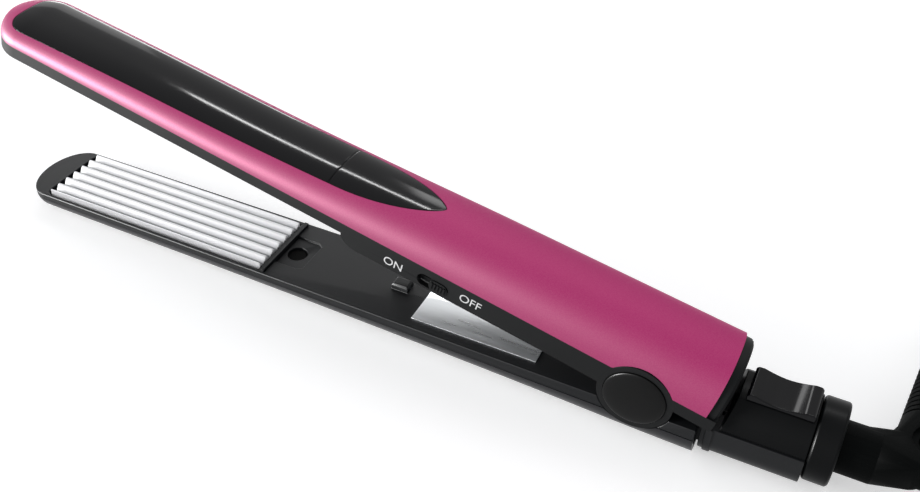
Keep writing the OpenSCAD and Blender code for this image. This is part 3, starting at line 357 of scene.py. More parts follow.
cord = tube("power_cord", route, CORD_D / 2, 16, "cord")
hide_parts("cord_lead", "cord_coil", "cord_end")
print("cord:", len(cord.data.vertices), "points")

# %% [markdown]
# A strap of hook and loop tape holds the coil. It is a flat band carried once round the coil's
# section: down inside, out underneath, up outside and back over the top. The table leaves it
# little room underneath, so it is thin there and thick everywhere else.


# %% Cord tie
TIE_TURN, TIE_WIDE = 0.5, 11.0
TIE_STEPS, TIE_SQUARENESS = 96, 0.35
TIE_INNER, TIE_OUTER = np.array([0.5, 0.02]), np.array([1.3, 0.07])  # past the cord: across, up
TIE_TOP = np.array([0, 0.76])


def strap(name, body):
    """Band round the coil at one turn: a rounded box in the plane of that radius, made thick."""
    angle = np.linspace(0, 2 * math.pi, TIE_STEPS, endpoint=False)
    circle = np.stack([np.cos(angle), np.sin(angle)], -1)
    loop = np.sign(circle) * np.abs(circle) ** TIE_SQUARENESS
    outer_r = COIL_R + COIL_STEP * (COIL_LOOPS - TIE_TURN) + CORD_D / 2
    inner_r = COIL_R + COIL_STEP * TIE_TURN - CORD_D / 2
    half_height = CORD_D + LAYER_GAP / 2
    centre = np.array([(outer_r + inner_r) / 2, COIL_LIFT + half_height])
    reach = np.array([(outer_r - inner_r) / 2, half_height])
    path_in = centre + loop * (reach + TIE_INNER)
    path_out = centre + loop * (reach + TIE_OUTER) + np.maximum(loop[:, 1:], 0) * TIE_TOP
    section = np.stack([path_in, path_out, path_out, path_in], 1)
    across = TIE_WIDE * np.array([-0.5, -0.5, 0.5, 0.5])[None, :, None]
    spin = 2 * math.pi * TIE_TURN
    along = np.array([math.cos(spin), -math.sin(spin), 0])
    away = np.array([math.sin(spin), math.cos(spin), 0])
    flat = np.array([*COIL_AT, 0.0]) + section[..., :1] * away + across * along
    points = flat + section[..., 1:] * [0, 0, 1.0]
    rows, columns = points.shape[:2]
    faces = cell_faces(rows + 1, columns, wrap=True) % (rows * columns)
    return add_mesh(name, points * MM, faces, body)


cord_tie = strap("cord_tie", "cord")
print("cord tie:", len(cord_tie.data.vertices), "points")

# %% [markdown]
# The cord's far end carries a moulded plug with two pins.

# %% What the cord carries
plug = eased("plug_body", "cord", 0.3)

# %% [markdown]
# Products are lit from broad soft boxes, with white cards that stand where the gloss reflects
# them. Here the two are kept apart: a lamp lights what is matt and stays out of reflections, and
# a card shows in gloss and lights nothing else. So the colours and the highlights can be set one
# at a time. The strongest lamp and card stand beyond the tips and pale the front of the pink.


# %% Lights
def soft_box(name, place, target, size, power):
    """Area light: a lit rectangle at a place, turned towards a target."""
    data = bpy.data.lights.new(name, "AREA")
    data.shape = "RECTANGLE"
    data.size, data.size_y = size
    data.energy = power
    light = linked(name, data)
    light.location = place
    light.rotation_euler = (Vector(target) - Vector(place)).to_track_quat("-Z", "Y").to_euler()
    return light


def card(*description):
    """Reflector card: it shows in gloss and doesn't light what is matt."""
    light = soft_box(*description)
    light.visible_diffuse = False
    return light


for lamp in (
    soft_box("tip_lamp", (-0.80, -0.62, 0.42), (-0.1, 0, 0.05), (0.45, 0.35), 2.1),
    soft_box("near_lamp", (-0.38, -0.78, 0.42), (-0.08, 0, 0.03), (0.6, 0.4), 1.0),
    soft_box("crown_lamp", (-0.1, 0.45, 0.85), (0.0, 0, 0.05), (0.9, 0.3), 0.8),
):
    lamp.visible_glossy = False
card("line_card", (-0.03, 0.55, 0.75), (0.0, 0, 0.05), (0.66, 0.028), 3.0)
card("side_card", (-0.74, -0.58, 0.19), (-0.19, 0, 0.05), (0.5, 0.38), 112.0)
card("tip_card", (-0.90, -0.36, 0.16), (-0.23, 0, 0.06), (0.3, 0.3), 20.0)
card("far_card", (-0.75, 0.90, 0.13), (-0.2, 0, 0.05), (0.7, 0.24), 3.5)
card("grey_card", (-0.85, 0.80, 0.45), (-0.15, 0, 0.06), (0.6, 0.4), 0.9)
card("button_card", (-0.15, 0.73, 0.66), (0.06, 0, 0.02), (0.05, 0.12), 0.15)


# %% [markdown]
# Round the table hangs white paper. A white world would also light everything white, so two
# backgrounds share the work: a soft, slightly cool one lights the part, and a plain white one is
# what the eye and the reflections see.


# %% World
def seen_rays(tree):
    """1 for rays that show a surface to the eye: straight, in a reflection, or through glass."""
    paths = tree.nodes.new("ShaderNodeLightPath")
    first = tree.nodes.new("ShaderNodeMath")
    second = tree.nodes.new("ShaderNodeMath")
    first.operation = second.operation = "MAXIMUM"
    tree.links.new(paths.outputs["Is Camera Ray"], first.inputs[0])
    tree.links.new(paths.outputs["Is Glossy Ray"], first.inputs[1])
    tree.links.new(first.outputs[0], second.inputs[0])
    tree.links.new(paths.outputs["Is Transmission Ray"], second.inputs[1])
    return second.outputs[0]


def lit_and_seen(tree, lit, seen, output):
    """Sends one shader to rays that only carry light, and the other to those that are seen."""
    choose = tree.nodes.new("ShaderNodeMixShader")
    tree.links.new(seen_rays(tree), choose.inputs[0])
    tree.links.new(lit.outputs[0], choose.inputs[1])
    tree.links.new(seen.outputs[0], choose.inputs[2])
    tree.links.new(choose.outputs[0], tree.nodes.new(output).inputs["Surface"])


def source(tree, kind, colour, strength):
    """Background or emission node of one colour."""
    node = tree.nodes.new(kind)
    node.inputs["Color"].default_value = (*colour, 1)
    node.inputs["Strength"].default_value = strength
    return node


world = bpy.data.worlds.new("studio")
bpy.context.scene.world = world
world.use_nodes = True
tree = world.node_tree
tree.nodes.clear()
ambient = source(tree, "ShaderNodeBackground", (0.97, 0.98, 1.0), 0.66)
backdrop = source(tree, "ShaderNodeBackground", (1, 1, 1), 1.0)
lit_and_seen(tree, ambient, backdrop, "ShaderNodeOutputWorld")
print("world:", world.name)

# %% [markdown]
# The table is matt white paper that runs on past the view. It glows a little for the eye alone,
# which brings it up to white and keeps the object's shadow.

# %% Floor
FLOOR_HALF, FLOOR_DROP = 6.0, 0.0002
quarters = (-1, -1), (1, -1), (1, 1), (-1, 1)
floor_corners = [(x * FLOOR_HALF, y * FLOOR_HALF, 0) for x, y in quarters]
floor_mesh = bpy.data.meshes.new("floor")
floor_mesh.from_pydata(floor_corners, [], [(0, 1, 2, 3)])
floor = linked("floor", floor_mesh)
floor.location.z = -FLOOR_DROP
floor_finish = bpy.data.materials.new("floor_finish")
floor_finish.use_nodes = True
tree = floor_finish.node_tree
tree.nodes.clear()
matt = tree.nodes.new("ShaderNodeBsdfDiffuse")
matt.inputs["Color"].default_value = (0.8, 0.8, 0.8, 1)
glow = source(tree, "ShaderNodeEmission", (1, 1, 1), 0.45)
both = tree.nodes.new("ShaderNodeAddShader")
tree.links.new(matt.outputs[0], both.inputs[0])
tree.links.new(glow.outputs[0], both.inputs[1])
lit_and_seen(tree, matt, both, "ShaderNodeOutputMaterial")
floor_mesh.materials.append(floor_finish)
print("floor:", 2 * FLOOR_HALF, "m wide")

# %% [markdown]
# Moulded plastic is never one flat colour. A spark-eroded mould leaves a fine grain, and use
# leaves slow smudges that vary the gloss. Many finishes share the two, so they are one node
# group. A second group gives the pearl cover its fine flakes.


# %% Shared effects
def effect(name, inputs, outputs):
    """Empty shader node group with named inputs (name, value) and outputs (name, kind)."""
    group = bpy.data.node_groups.new(name, "ShaderNodeTree")
    for label, value in inputs:
        socket = group.interface.new_socket(label, in_out="INPUT", socket_type="NodeSocketFloat")
        socket.default_value = value
    group.interface.new_socket("Vector", in_out="INPUT", socket_type="NodeSocketVector")
    for label, kind in outputs:
        group.interface.new_socket(label, in_out="OUTPUT", socket_type=kind)
    return group, group.nodes.new("NodeGroupInput"), group.nodes.new("NodeGroupOutput")


def noise(tree, vector, scale, detail):
    """Noise texture on a vector, with its scale as a number or a socket."""
    node = tree.nodes.new("ShaderNodeTexNoise")
    node.inputs["Detail"].default_value = detail
    node.inputs["Roughness"].default_value = 0.5
    tree.links.new(vector, node.inputs["Vector"])
    if isinstance(scale, (int, float)):
        node.inputs["Scale"].default_value = scale
    else:
        tree.links.new(scale, node.inputs["Scale"])
    return node.outputs["Fac"]


def stretch(tree, value, low, high):
    """Map Range: 0..1 to low..high, where low and high are numbers or sockets."""
    node = tree.nodes.new("ShaderNodeMapRange")
    tree.links.new(value, node.inputs["Value"])
    for label, bound in (("To Min", low), ("To Max", high)):
        if isinstance(bound, (int, float)):
            node.inputs[label].default_value = bound
        else:
            tree.links.new(bound, node.inputs[label])
    return node.outputs["Result"]


SMUDGES, GRAIN, FLAKES = 55.0, 2500.0, 5200.0  # sizes of the patterns, as noise scales
mould_grain, g_in, g_out = effect(
    "mould_grain", [("Scale", GRAIN), ("Low", 0.4), ("High", 0.6)],
    [("Height", "NodeSocketFloat"), ("Roughness", "NodeSocketFloat")])
fine = noise(mould_grain, g_in.outputs["Vector"], g_in.outputs["Scale"], 3.0)
broad = noise(mould_grain, g_in.outputs["Vector"], SMUDGES, 2.0)
gloss = stretch(mould_grain, broad, g_in.outputs["Low"], g_in.outputs["High"])
mould_grain.links.new(fine, g_out.inputs["Height"])
mould_grain.links.new(gloss, g_out.inputs["Roughness"])

pearl_flake, g_in, g_out = effect(
    "pearl_flake", [("Scale", FLAKES)], [("Flake", "NodeSocketFloat")])
cells = pearl_flake.nodes.new("ShaderNodeTexVoronoi")
pearl_flake.links.new(g_in.outputs["Vector"], cells.inputs["Vector"])
pearl_flake.links.new(g_in.outputs["Scale"], cells.inputs["Scale"])
grey = pearl_flake.nodes.new("ShaderNodeSeparateColor")
pearl_flake.links.new(cells.outputs["Color"], grey.inputs["Color"])
pearl_flake.links.new(grey.outputs[0], g_out.inputs["Flake"])
print("effects:", [group.name for group in bpy.data.node_groups])


# %% [markdown]
# A finish is a Principled shader whose plain numbers sit on its own sockets. Only what changes
# over the surface comes through the effects: the colour between two near tones, the roughness
# between two values, and a faint bump from the grain.


# %% How a finish is made
TONE_SCALE, TONE_DETAIL = 40.0, 4.0
BUMP_DEPTH = 0.0001


def finish(name, tone_a, tone_b, rough, grain=GRAIN, bump=0.02, stretch_by=None, **fixed):
    """Material: two near tones, a span of roughness, a grain's bump, and fixed sockets."""
    material = bpy.data.materials.new(name)
    material.use_nodes = True
    tree = material.node_tree
    shader = next(n for n in tree.nodes if n.type == "BSDF_PRINCIPLED")
    for label, value in fixed.items():
        shader.inputs[label.replace("_", " ")].default_value = value
    where = tree.nodes.new("ShaderNodeTexCoord").outputs["Object"]
    if stretch_by:
        mapping = tree.nodes.new("ShaderNodeMapping")
        mapping.inputs["Scale"].default_value = stretch_by
        tree.links.new(where, mapping.inputs["Vector"])
        where = mapping.outputs["Vector"]
    group = tree.nodes.new("ShaderNodeGroup")
    group.node_tree = mould_grain
    group.inputs["Scale"].default_value = grain
    group.inputs["Low"].default_value, group.inputs["High"].default_value = rough
    tree.links.new(where, group.inputs["Vector"])
    tree.links.new(group.outputs["Roughness"], shader.inputs["Roughness"])
    tones = tree.nodes.new("ShaderNodeMix")
    tones.data_type = "RGBA"
    tones.inputs["A"].default_value = (*tone_a, 1)
    tones.inputs["B"].default_value = (*tone_b, 1)
    tree.links.new(noise(tree, where, TONE_SCALE, TONE_DETAIL), tones.inputs["Factor"])
    tree.links.new(tones.outputs["Result"], shader.inputs["Base Color"])
    relief = tree.nodes.new("ShaderNodeBump")
    relief.inputs["Strength"].default_value = bump
    relief.inputs["Distance"].default_value = BUMP_DEPTH
    tree.links.new(group.outputs["Height"], relief.inputs["Height"])
    tree.links.new(relief.outputs["Normal"], shader.inputs["Normal"])
    return material


def dress(piece, material):
    """Gives a piece one material in all its slots."""
    piece.data.materials.clear()
    piece.data.materials.append(material)


def tinted(material, share, colour):
    """Mixes a colour over the material's base colour, by a share between 0 and 1."""
    tree = material.node_tree
    shader = next(n for n in tree.nodes if n.type == "BSDF_PRINCIPLED")
    mix = tree.nodes.new("ShaderNodeMix")
    mix.data_type = "RGBA"
    mix.inputs["B"].default_value = (*colour, 1)
    tree.links.new(share, mix.inputs["Factor"])
    tree.links.new(shader.inputs["Base Color"].links[0].from_socket, mix.inputs["A"])
    tree.links.new(mix.outputs["Result"], shader.inputs["Base Color"])


# %% [markdown]
# Nearly all of the tool is black, and yet no two of its blacks are alike: the inlays are
# polished, the housings matt, the keel between the two, and the cord's rubber is the dullest.
# They differ in gloss more than in tone, so the tones stay near each other and the roughness
# and the strength of the reflection carry the difference.

# %% Blacks
gloss_black = finish(
    "gloss_black", (0.002, 0.002, 0.003), (0.0035, 0.0035, 0.0045), (0.07, 0.12),
    bump=0.002, Specular_IOR_Level=0.15)
cap_black = finish(
    "cap_black", (0.002, 0.002, 0.002), (0.003, 0.003, 0.003), (0.3, 0.38),
    bump=0.04, Specular_IOR_Level=0.1)
keel_black = finish(
    "keel_black", (0.009, 0.009, 0.011), (0.013, 0.013, 0.016), (0.3, 0.38),
    bump=0.06, Specular_IOR_Level=0.2)
satin_black = finish(
    "satin_black", (0.0022, 0.0026, 0.003), (0.0035, 0.004, 0.0044), (0.3, 0.4),
    bump=0.06, Specular_IOR_Level=0.06)
charcoal = finish(
    "charcoal", (0.004, 0.0045, 0.005), (0.006, 0.0066, 0.007), (0.42, 0.52),
    bump=0.12, Specular_IOR_Level=0.09)
deck_plastic = finish(
    "deck_plastic", (0.0045, 0.005, 0.006), (0.007, 0.008, 0.0095), (0.36, 0.46),
    bump=0.1, Specular_IOR_Level=0.14)
rubber = finish(
    "rubber", (0.0016, 0.002, 0.002), (0.003, 0.0035, 0.0035), (0.45, 0.55),
    grain=1800, bump=0.1, Specular_IOR_Level=0.02)
cord_sheath = finish(
    "cord_sheath", (0.002, 0.0025, 0.0025), (0.0035, 0.004, 0.004), (0.35, 0.45),
    bump=0.06, Specular_IOR_Level=0.05)
tape = finish(
    "tape", (0.006, 0.006, 0.007), (0.012, 0.012, 0.013), (0.7, 0.85),
    grain=1400, bump=0.5, Specular_IOR_Level=0.1)
print("blacks made")

# %% [markdown]
# The hidden metal parts are plain sheet and wire, brushed along one way by their making, so
# their noise is stretched. The label is thin foil, and ceramic, board and print are matt.

# %% Other finishes
steel = finish(
    "steel", (0.56, 0.56, 0.58), (0.62, 0.62, 0.64), (0.22, 0.34),
    bump=0.05, stretch_by=(1, 12, 1), Metallic=1.0)
black_steel = finish(
    "black_steel", (0.001, 0.001, 0.001), (0.002, 0.002, 0.002), (0.35, 0.45),
    bump=0.05, Specular_IOR_Level=0.02)
chrome = finish(
    "chrome", (0.62, 0.62, 0.64), (0.68, 0.68, 0.7), (0.1, 0.16),
    bump=0.02, Metallic=1.0)
foil = finish(
    "foil", (0.72, 0.74, 0.76), (0.82, 0.84, 0.86), (0.22, 0.36),
    grain=700, bump=0.06, stretch_by=(1, 10, 1), Metallic=1.0)
ceramic = finish("ceramic", (0.8, 0.78, 0.72), (0.85, 0.83, 0.78), (0.5, 0.6), bump=0.1)
board_green = finish("board_green", (0.02, 0.12, 0.06), (0.03, 0.16, 0.08), (0.3, 0.4))
print_white = finish("print_white", (0.74, 0.74, 0.74), (0.8, 0.8, 0.8), (0.5, 0.6), bump=0.05)
print("finishes:", len(bpy.data.materials))

# %% [markdown]
# The plates are coated aluminium, pale and soft in their shine, with painted shade where a groove
# keeps the light out. Each plate's mesh carries a number at its points, 0 on the ridges and 1 in
# the grooves, and it mixes a grey over the metal as painted shade. So the painted shade follows
# the shape wherever it turns.

# %% Plate metal
plate_metal = finish(
    "plate_metal", (0.90, 0.90, 0.91), (0.93, 0.93, 0.94), (0.4, 0.5),
    grain=1500, bump=0.04, stretch_by=(0.08, 1, 1), Specular_IOR_Level=0.08)
groove = plate_metal.node_tree.nodes.new("ShaderNodeAttribute")
groove.attribute_name = "groove"
# painted shade: the groove number mixes a dark grey into the bottoms of the grooves
tinted(plate_metal, groove.outputs["Fac"], (0.30, 0.31, 0.32))
print("plate metal: shade by the attribute", groove.attribute_name)

# %% [markdown]
# The pearl cover is lacquer full of small mica flakes. Each flake leans its own way, so the
# colour breaks up very finely and the highlight spreads out. A clear coat lies over it.

# %% Pearl pink
GLINT_SHARE = 0.07
pearl_pink = finish(
    "pearl_pink", (0.40, 0.006, 0.120), (0.43, 0.009, 0.135), (0.42, 0.48),
    grain=5000, bump=0.02, Metallic=0.04, Specular_IOR_Level=0.02, Coat_Weight=0.42,
    Coat_Roughness=0.6)
tree = pearl_pink.node_tree
flakes = tree.nodes.new("ShaderNodeGroup")
flakes.node_tree = pearl_flake
flakes.inputs["Scale"].default_value = FLAKES
where = tree.nodes.new("ShaderNodeTexCoord").outputs["Object"]
tree.links.new(where, flakes.inputs["Vector"])
glint = stretch(tree, flakes.outputs["Flake"], 0.0, GLINT_SHARE)
tinted(pearl_pink, glint, (0.8, 0.25, 0.42))
print("pearl pink: glints up to", GLINT_SHARE)

# %% [markdown]
# The crown's section is a flattened half ellipse that stands on the parting line. Its exponent
# of 2.4 squares the shoulders a little. The same functions serve the pink cover and the inlays
# that lie in it, so both keep to one skin and the seam between them is even.


# %% Crown
CROWN_POWER = 2.4
TURN_POWER = 2 / CROWN_POWER
NOSE_FALL = 0.5  # how fast the crown comes down in the nose, against its width


def section(x, inset):
    """Half width and height of the crown's section, for a skin pulled in by inset."""
    share = nose_share(x, UPPER_REACH - inset, UPPER_NOSE - inset)
    b = (half_width(x) - inset) * share
    h = (smooth_lookup(x, CROWN_KNOTS, CROWN_HEIGHTS) - inset) * share**NOSE_FALL
    return b, h


def crown_surface(x, y, inset=0.0):
    """Height of the crown over the deck at a place seen from above."""
    b, h = section(x, inset)
    u = np.clip(np.abs(y) / np.maximum(b, 1e-6), 0, 1)
    return parting(x) + h * (1 - u**CROWN_POWER) ** (1 / CROWN_POWER)


def crown_at(x, t, inset):
    """Point of the crown's section at turn t: 0 is the near lower edge and pi the far one."""
    b, h = section(x, inset)
    y = -b * np.sign(np.cos(t)) * np.abs(np.cos(t)) ** TURN_POWER
    z = parting(x) + h * np.abs(np.sin(t)) ** TURN_POWER
    return np.stack([x + 0 * t, y, z], -1)


def turn_at_y(x, y, inset):
    """Turn at which the section reaches a half width y."""
    b, _ = section(x, inset)
    return np.arccos(np.clip(np.abs(y) / b, 0, 1) ** (1 / TURN_POWER))


def turn_at_z(x, rise, inset):
    """Turn at which the section has risen by a height over the parting line."""
    _, h = section(x, inset)
    return np.arcsin(np.clip(rise / h, 0, 1) ** (1 / TURN_POWER))


# %% [markdown]
# The black inlays are one long tongue with round front corners and, behind a seam, a teardrop
# that runs out to a point. Seen from above they are a single outline along the arm, and the
# recess in the cover is the same outline grown by the seam.


# %% Inlay outline
INLAY_FRONT, INLAY_SEAM_X, INLAY_TAIL_X = -UPPER_REACH + 6.2, -111.0, -75.5
INLAY_HALF_FRONT, INLAY_HALF_SEAM = 11.2, 10.0
INLAY_T = 1.3
CORNER = 6.0
DROP_FULLNESS, DROP_BLUNTNESS = 2.2, 0.7


def inlay_half(x, grow):
    """Half width of the inlays: a straight taper with round front corners, then a teardrop."""
    front = INLAY_FRONT - grow
    taper = (INLAY_HALF_FRONT - INLAY_HALF_SEAM) / (REACH + INLAY_SEAM_X)
    wide = INLAY_HALF_SEAM - (x - INLAY_SEAM_X) * taper
    u = np.clip(1 - (x - front) / CORNER, 0, 1)
    long = wide + grow - CORNER * (1 - np.sqrt(1 - u * u))
    t = np.clip((x - INLAY_SEAM_X) / (INLAY_TAIL_X + grow - INLAY_SEAM_X), 0, 1)
    drop = INLAY_HALF_SEAM * (1 - t**DROP_FULLNESS) ** DROP_BLUNTNESS + grow
    return np.where(x < INLAY_SEAM_X, long, np.where(t >= 1, 0.01, drop))


def arc(low, high, count):
    """Angles in radians between two in degrees, for rows that gather where a curve turns fast."""
    return np.radians(np.linspace(low, high, count))


# %% [markdown]
# The cover is one moulding: a shell from the nose to the hinge, with a round notch over each
# cheek of the hinge and a shallow recess for the inlays. Instead of cutting these out, one grid
# is laid so that its own lines follow them: rows stop at the recess's two ends and columns run
# along its outline. That keeps every edge crisp, without stray faces.


# %% Rows of the pink cover
TINY = 1e-4
front_x, tail_x = INLAY_FRONT - SEAM, INLAY_TAIL_X + SEAM
cut_r = CHEEK_R + SEAM
x_rows = np.unique(np.concatenate([
    -UPPER_REACH + UPPER_NOSE * (1 - np.cos(arc(0, 90, 36))),
    front_x + CORNER * (1 - np.cos(arc(4, 90, 14))),
    np.linspace(-223, -112, 60),
    INLAY_SEAM_X + (tail_x - INLAY_SEAM_X) * np.sin(arc(0, 89, 40)),
    np.linspace(-75, -10, 40),
    9.57 * np.sin(arc(-90, 90, 41)),  # over the cheek's notch
    np.linspace(10, 18.5, 8),
    COVER_REAR - np.array([0.9, 0.5, 0.25, 0.15, 0.08, 0.03, 0.0]),
    [front_x, tail_x],
]).round(5))
before = x_rows[x_rows <= front_x + TINY]
within = x_rows[(x_rows >= front_x - TINY) & (x_rows <= tail_x + TINY)]
behind = x_rows[x_rows >= tail_x - TINY]
rows = np.concatenate([before, within, behind])[:, None]
in_recess = np.concatenate([0 * before, 0 * within + 1, 0 * behind])[:, None]
print("pink cover:", len(before), "+", len(within), "+", len(behind), "rows")


# %% Pink cover
STRIP_COLUMNS, FLOOR_COLUMNS = 34, 14
WIDEST = 0.97  # the recess's columns stay within this share of the section
FAN_HALF, FAN_LENGTH = 3.0, 30.0  # how they open again behind the teardrop's point


def notch_rise(x, radius):
    """How far the round notch over the hinge cheek cuts into the cover above the parting line."""
    top = PIVOT_Z + np.sqrt(np.clip(radius**2 - x**2, 0, None))
    return np.where(np.abs(x) < radius, np.maximum(top - parting(x), 0), 0)


def recess_half(x):
    """Half width of the recess, and beyond its ends of the lines that carry its columns on."""
    ahead = inlay_half(np.full_like(x, front_x), SEAM) * nose_share(x, UPPER_REACH, UPPER_NOSE)
    astern = 0.01 + FAN_HALF * np.clip((x - tail_x) / FAN_LENGTH, 0, 1)
    inside = (x > front_x - TINY) & (x < tail_x + TINY)
    return np.where(inside, inlay_half(x, SEAM), np.where(x < front_x, ahead, astern))


def cover_grid(inset, depth):
    """Near half of the cover: the side strip up to the recess's edge, then the recess's floor."""
    x = np.maximum(rows, inset - UPPER_REACH)
    half = np.minimum(recess_half(x), section(x, inset)[0] * WIDEST)
    low = turn_at_z(x, notch_rise(x, cut_r), inset)
    high = turn_at_y(x, half, inset)
    side = np.linspace(0, 1, STRIP_COLUMNS)[None, :]
    strip = crown_at(x, low + (high - low) * side, inset)
    floor_y = -half * np.linspace(1, 0, FLOOR_COLUMNS)[None, :]
    floor_z = crown_surface(x, floor_y, inset) - depth * in_recess
    return np.concatenate([strip, np.stack([x + 0 * floor_y, floor_y, floor_z], -1)], 1)


def both_sides(near):
    """Whole grid from its near half: the mirrored columns, without the middle one twice."""
    return np.concatenate([near, near[:, -2::-1] * [1, -1, 1]], 1)


outer = both_sides(cover_grid(0.0, INLAY_T + SEAM))
inner = both_sides(cover_grid(UPPER_WALL, 0.0))
pink_cover = thick_skin("pink_cover", opened(outer), opened(inner), "upper_arm")
dress(pink_cover, pearl_pink)
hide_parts("upper_cover")
print("pink cover:", outer.shape, "grid")

# %% [markdown]
# Each inlay is a thin moulding pressed into the recess, polished on top, with its edges rounded
# all the way round. Its grid is the crown's own skin over the outline, and close to the outline
# the columns gather and drop along a quarter circle, which makes the rounded edge.


# %% Gloss black inlays
INLAY_EDGE = 0.3
BORDER = np.array([0.0, 0.03, 0.09, 0.18, INLAY_EDGE, 0.6])  # columns from the outline inwards
END_ROWS = np.array([0.0, 0.02, 0.06, 0.12, 0.2, INLAY_EDGE])
NARROW = 2.0  # where the teardrop is narrower than this, its edge shrinks with it


def soften(distance, radius):
    """Drop of a rounded edge of that radius, at a distance from the edge."""
    inside = np.clip(radius - distance, 0, radius)
    return radius - np.sqrt(np.clip(radius**2 - inside**2, 0, None))


def inlay(name, x, node):
    """Inlay between two rows: the crown's skin over its outline, with softened edges."""
    ends = np.minimum(x - x[0], x[-1] - x)[:, None]
    x = x[:, None]
    half = np.maximum(inlay_half(x, 0.0), 0.02)
    scale = np.minimum(1, half / NARROW)
    border = half - BORDER[None, :] * scale
    middle = border[:, -1:] * np.linspace(1, 0, 20)[None, 1:]
    y = -np.concatenate([border, middle], 1)
    drop = np.maximum(soften((half + y) / scale, INLAY_EDGE), soften(ends, INLAY_EDGE)) * scale
    skin = crown_surface(x, y)
    top = np.stack([x + 0 * y, y, skin - drop], -1)
    low = np.stack([x + 0 * y, y, skin - INLAY_T], -1)
    piece = thick_skin(name, opened(both_sides(top)), opened(both_sides(low)), "upper_arm")
    dress(piece, gloss_black)
    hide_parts(node)
    print(name + ":", top.shape, "grid over the near half")


a, b = INLAY_FRONT, INLAY_SEAM_X - SEAM / 2
inlay("long_inlay", np.unique(np.concatenate([
    a + END_ROWS, a + CORNER * (1 - np.cos(arc(8, 90, 14))),
    np.linspace(a + CORNER + 0.5, b - 0.6, 90), b - END_ROWS,
])), "front_inlay")
a, b = INLAY_SEAM_X + SEAM / 2, INLAY_TAIL_X
inlay("drop_inlay", np.unique(np.concatenate([
    a + END_ROWS, a + 0.6 + (b - a - 0.6) * np.sin(arc(0, 89.5, 46)),
])), "rear_inlay")

# %% [markdown]
# The lower arm's cover is a keel: flat where it rests, round at its lower corners, and cut round
# under each cheek of the hinge. Its section is walked from the near parting line down the side,
# round the corner and across the flat, and the far half is the mirror of it.


# %% Lower cover
KEEL_NOSE_FALL = 0.35  # how fast the keel comes up in the nose, against its width
CHEEK_GAP = 0.3
ROUNDEST = 0.96  # a corner's radius, at most, as a share of the section's width and depth


def low_parting(x):
    """Height of the line where the lower cover meets the lower housing."""
    return -straight(x, LOW_PART_TIP, LOW_PART_HINGE)


def keel_half(x, inset, top):
    """Near half of the keel's section: an upright, a quarter round, and half of the flat."""
    x = np.maximum(x, inset - REACH)
    share = nose_share(x, REACH - inset, LOWER_NOSE - inset)
    b = (half_width(x) - inset) * share
    h = (straight(x, DEPTH_TIP, DEPTH_HINGE) - inset) * share**KEEL_NOSE_FALL
    r = smooth_lookup(x, KEEL_KNOTS, KEEL_RADII) - inset
    r = np.minimum(r, ROUNDEST * np.minimum(b, h))
    centre = r - h
    top = np.minimum(top, 0)
    upright = top + (np.minimum(centre, top) - top) * np.linspace(0, 1, 8)[None, :]
    start = np.arcsin(np.clip((centre - top) / r, 0, 1))
    angle = start + (math.pi / 2 - start) * np.linspace(0, 1, 24)[None, 1:]
    flat = np.linspace(1, 0, 9)[None, 1:]
    side_y = -b + r * (1 - np.cos(start)) + 0 * upright
    y = np.concatenate([side_y, -(b - r) - r * np.cos(angle), -(b - r) * flat], 1)
    z = np.concatenate([upright, centre - r * np.sin(angle), -h + 0 * flat], 1)
    return np.stack([x + 0 * y, y, z], -1)


def keel_top(x, radius):
    """Upper edge of the lower cover: the parting line, or the round notch under the cheek."""
    plain = low_parting(x) - SEAM
    notch = PIVOT_Z - np.sqrt(np.clip(radius**2 - x**2, 0, None))
    return np.where(np.abs(x) < radius, np.minimum(plain, notch), plain)


keel_x = np.unique(np.concatenate([
    -REACH + LOWER_NOSE * (1 - np.cos(arc(0, 90, 32))),
    np.linspace(-223, -12, 100),
    11.999 * np.sin(arc(-90, 90, 49)),  # under the cheek's notch
    np.linspace(12.2, KEEL_REAR, 8),
]))[:, None]
top_edge = keel_top(keel_x, CHEEK_R + CHEEK_GAP)
outer = both_sides(keel_half(keel_x, 0.0, top_edge))
inner = both_sides(keel_half(keel_x, LOWER_WALL, top_edge))
keel = thick_skin("keel_cover", deck(outer), deck(inner), "lower_arm")
dress(keel, keel_black)
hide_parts("lower_cover")
print("keel cover:", outer.shape, "grid")

# %% [markdown]
# The lower crimping plate has seven soft ridges along the arm, and when the arms shut, those of
# the upper plate lie between them. So one cosine wave across the arm serves both faces, with the
# upper one a little higher, and each plate is closed by a flat back and softened at its edges.


# %% Crimping plates
PLATE_FRONT, PLATE_REAR, PLATE_WIDE = -221.7, -132.2, 25.0
PLATE_END = np.array([0.0, 0.02, 0.1, 0.25])
RIB_PITCH, RIB_HEIGHT, RIB_CREST = PLATE_WIDE / 6, 2.3, 1.7
UPPER_LIFT = 0.8  # from the lower plate's face to the upper plate's, when shut
PLATE_T = 1.55  # from the grooves to the back
END_RADIUS, SIDE_RADIUS = 0.25, 0.2
SHADE_FROM, SHADE_SPAN, SHADE_END = 1.75, 0.4, 2.35


def groove_shade(piece, place, crest, sign):
    """Painted shade: 0 from the crest down to SHADE_FROM, 1 in the groove, and 0 again beyond
    SHADE_END.
    """
    points = np.zeros(len(piece.data.vertices) * 3)
    piece.data.vertices.foreach_get("co", points)
    corner = place(np.zeros(3))
    up = place(np.array([0, 0, 1.0])) - corner
    height = (points.reshape(-1, 3) - corner) @ up / (up @ up)
    depth = sign * (crest - height)
    return np.clip((depth - SHADE_FROM) / SHADE_SPAN, 0, 1) * (depth < SHADE_END)


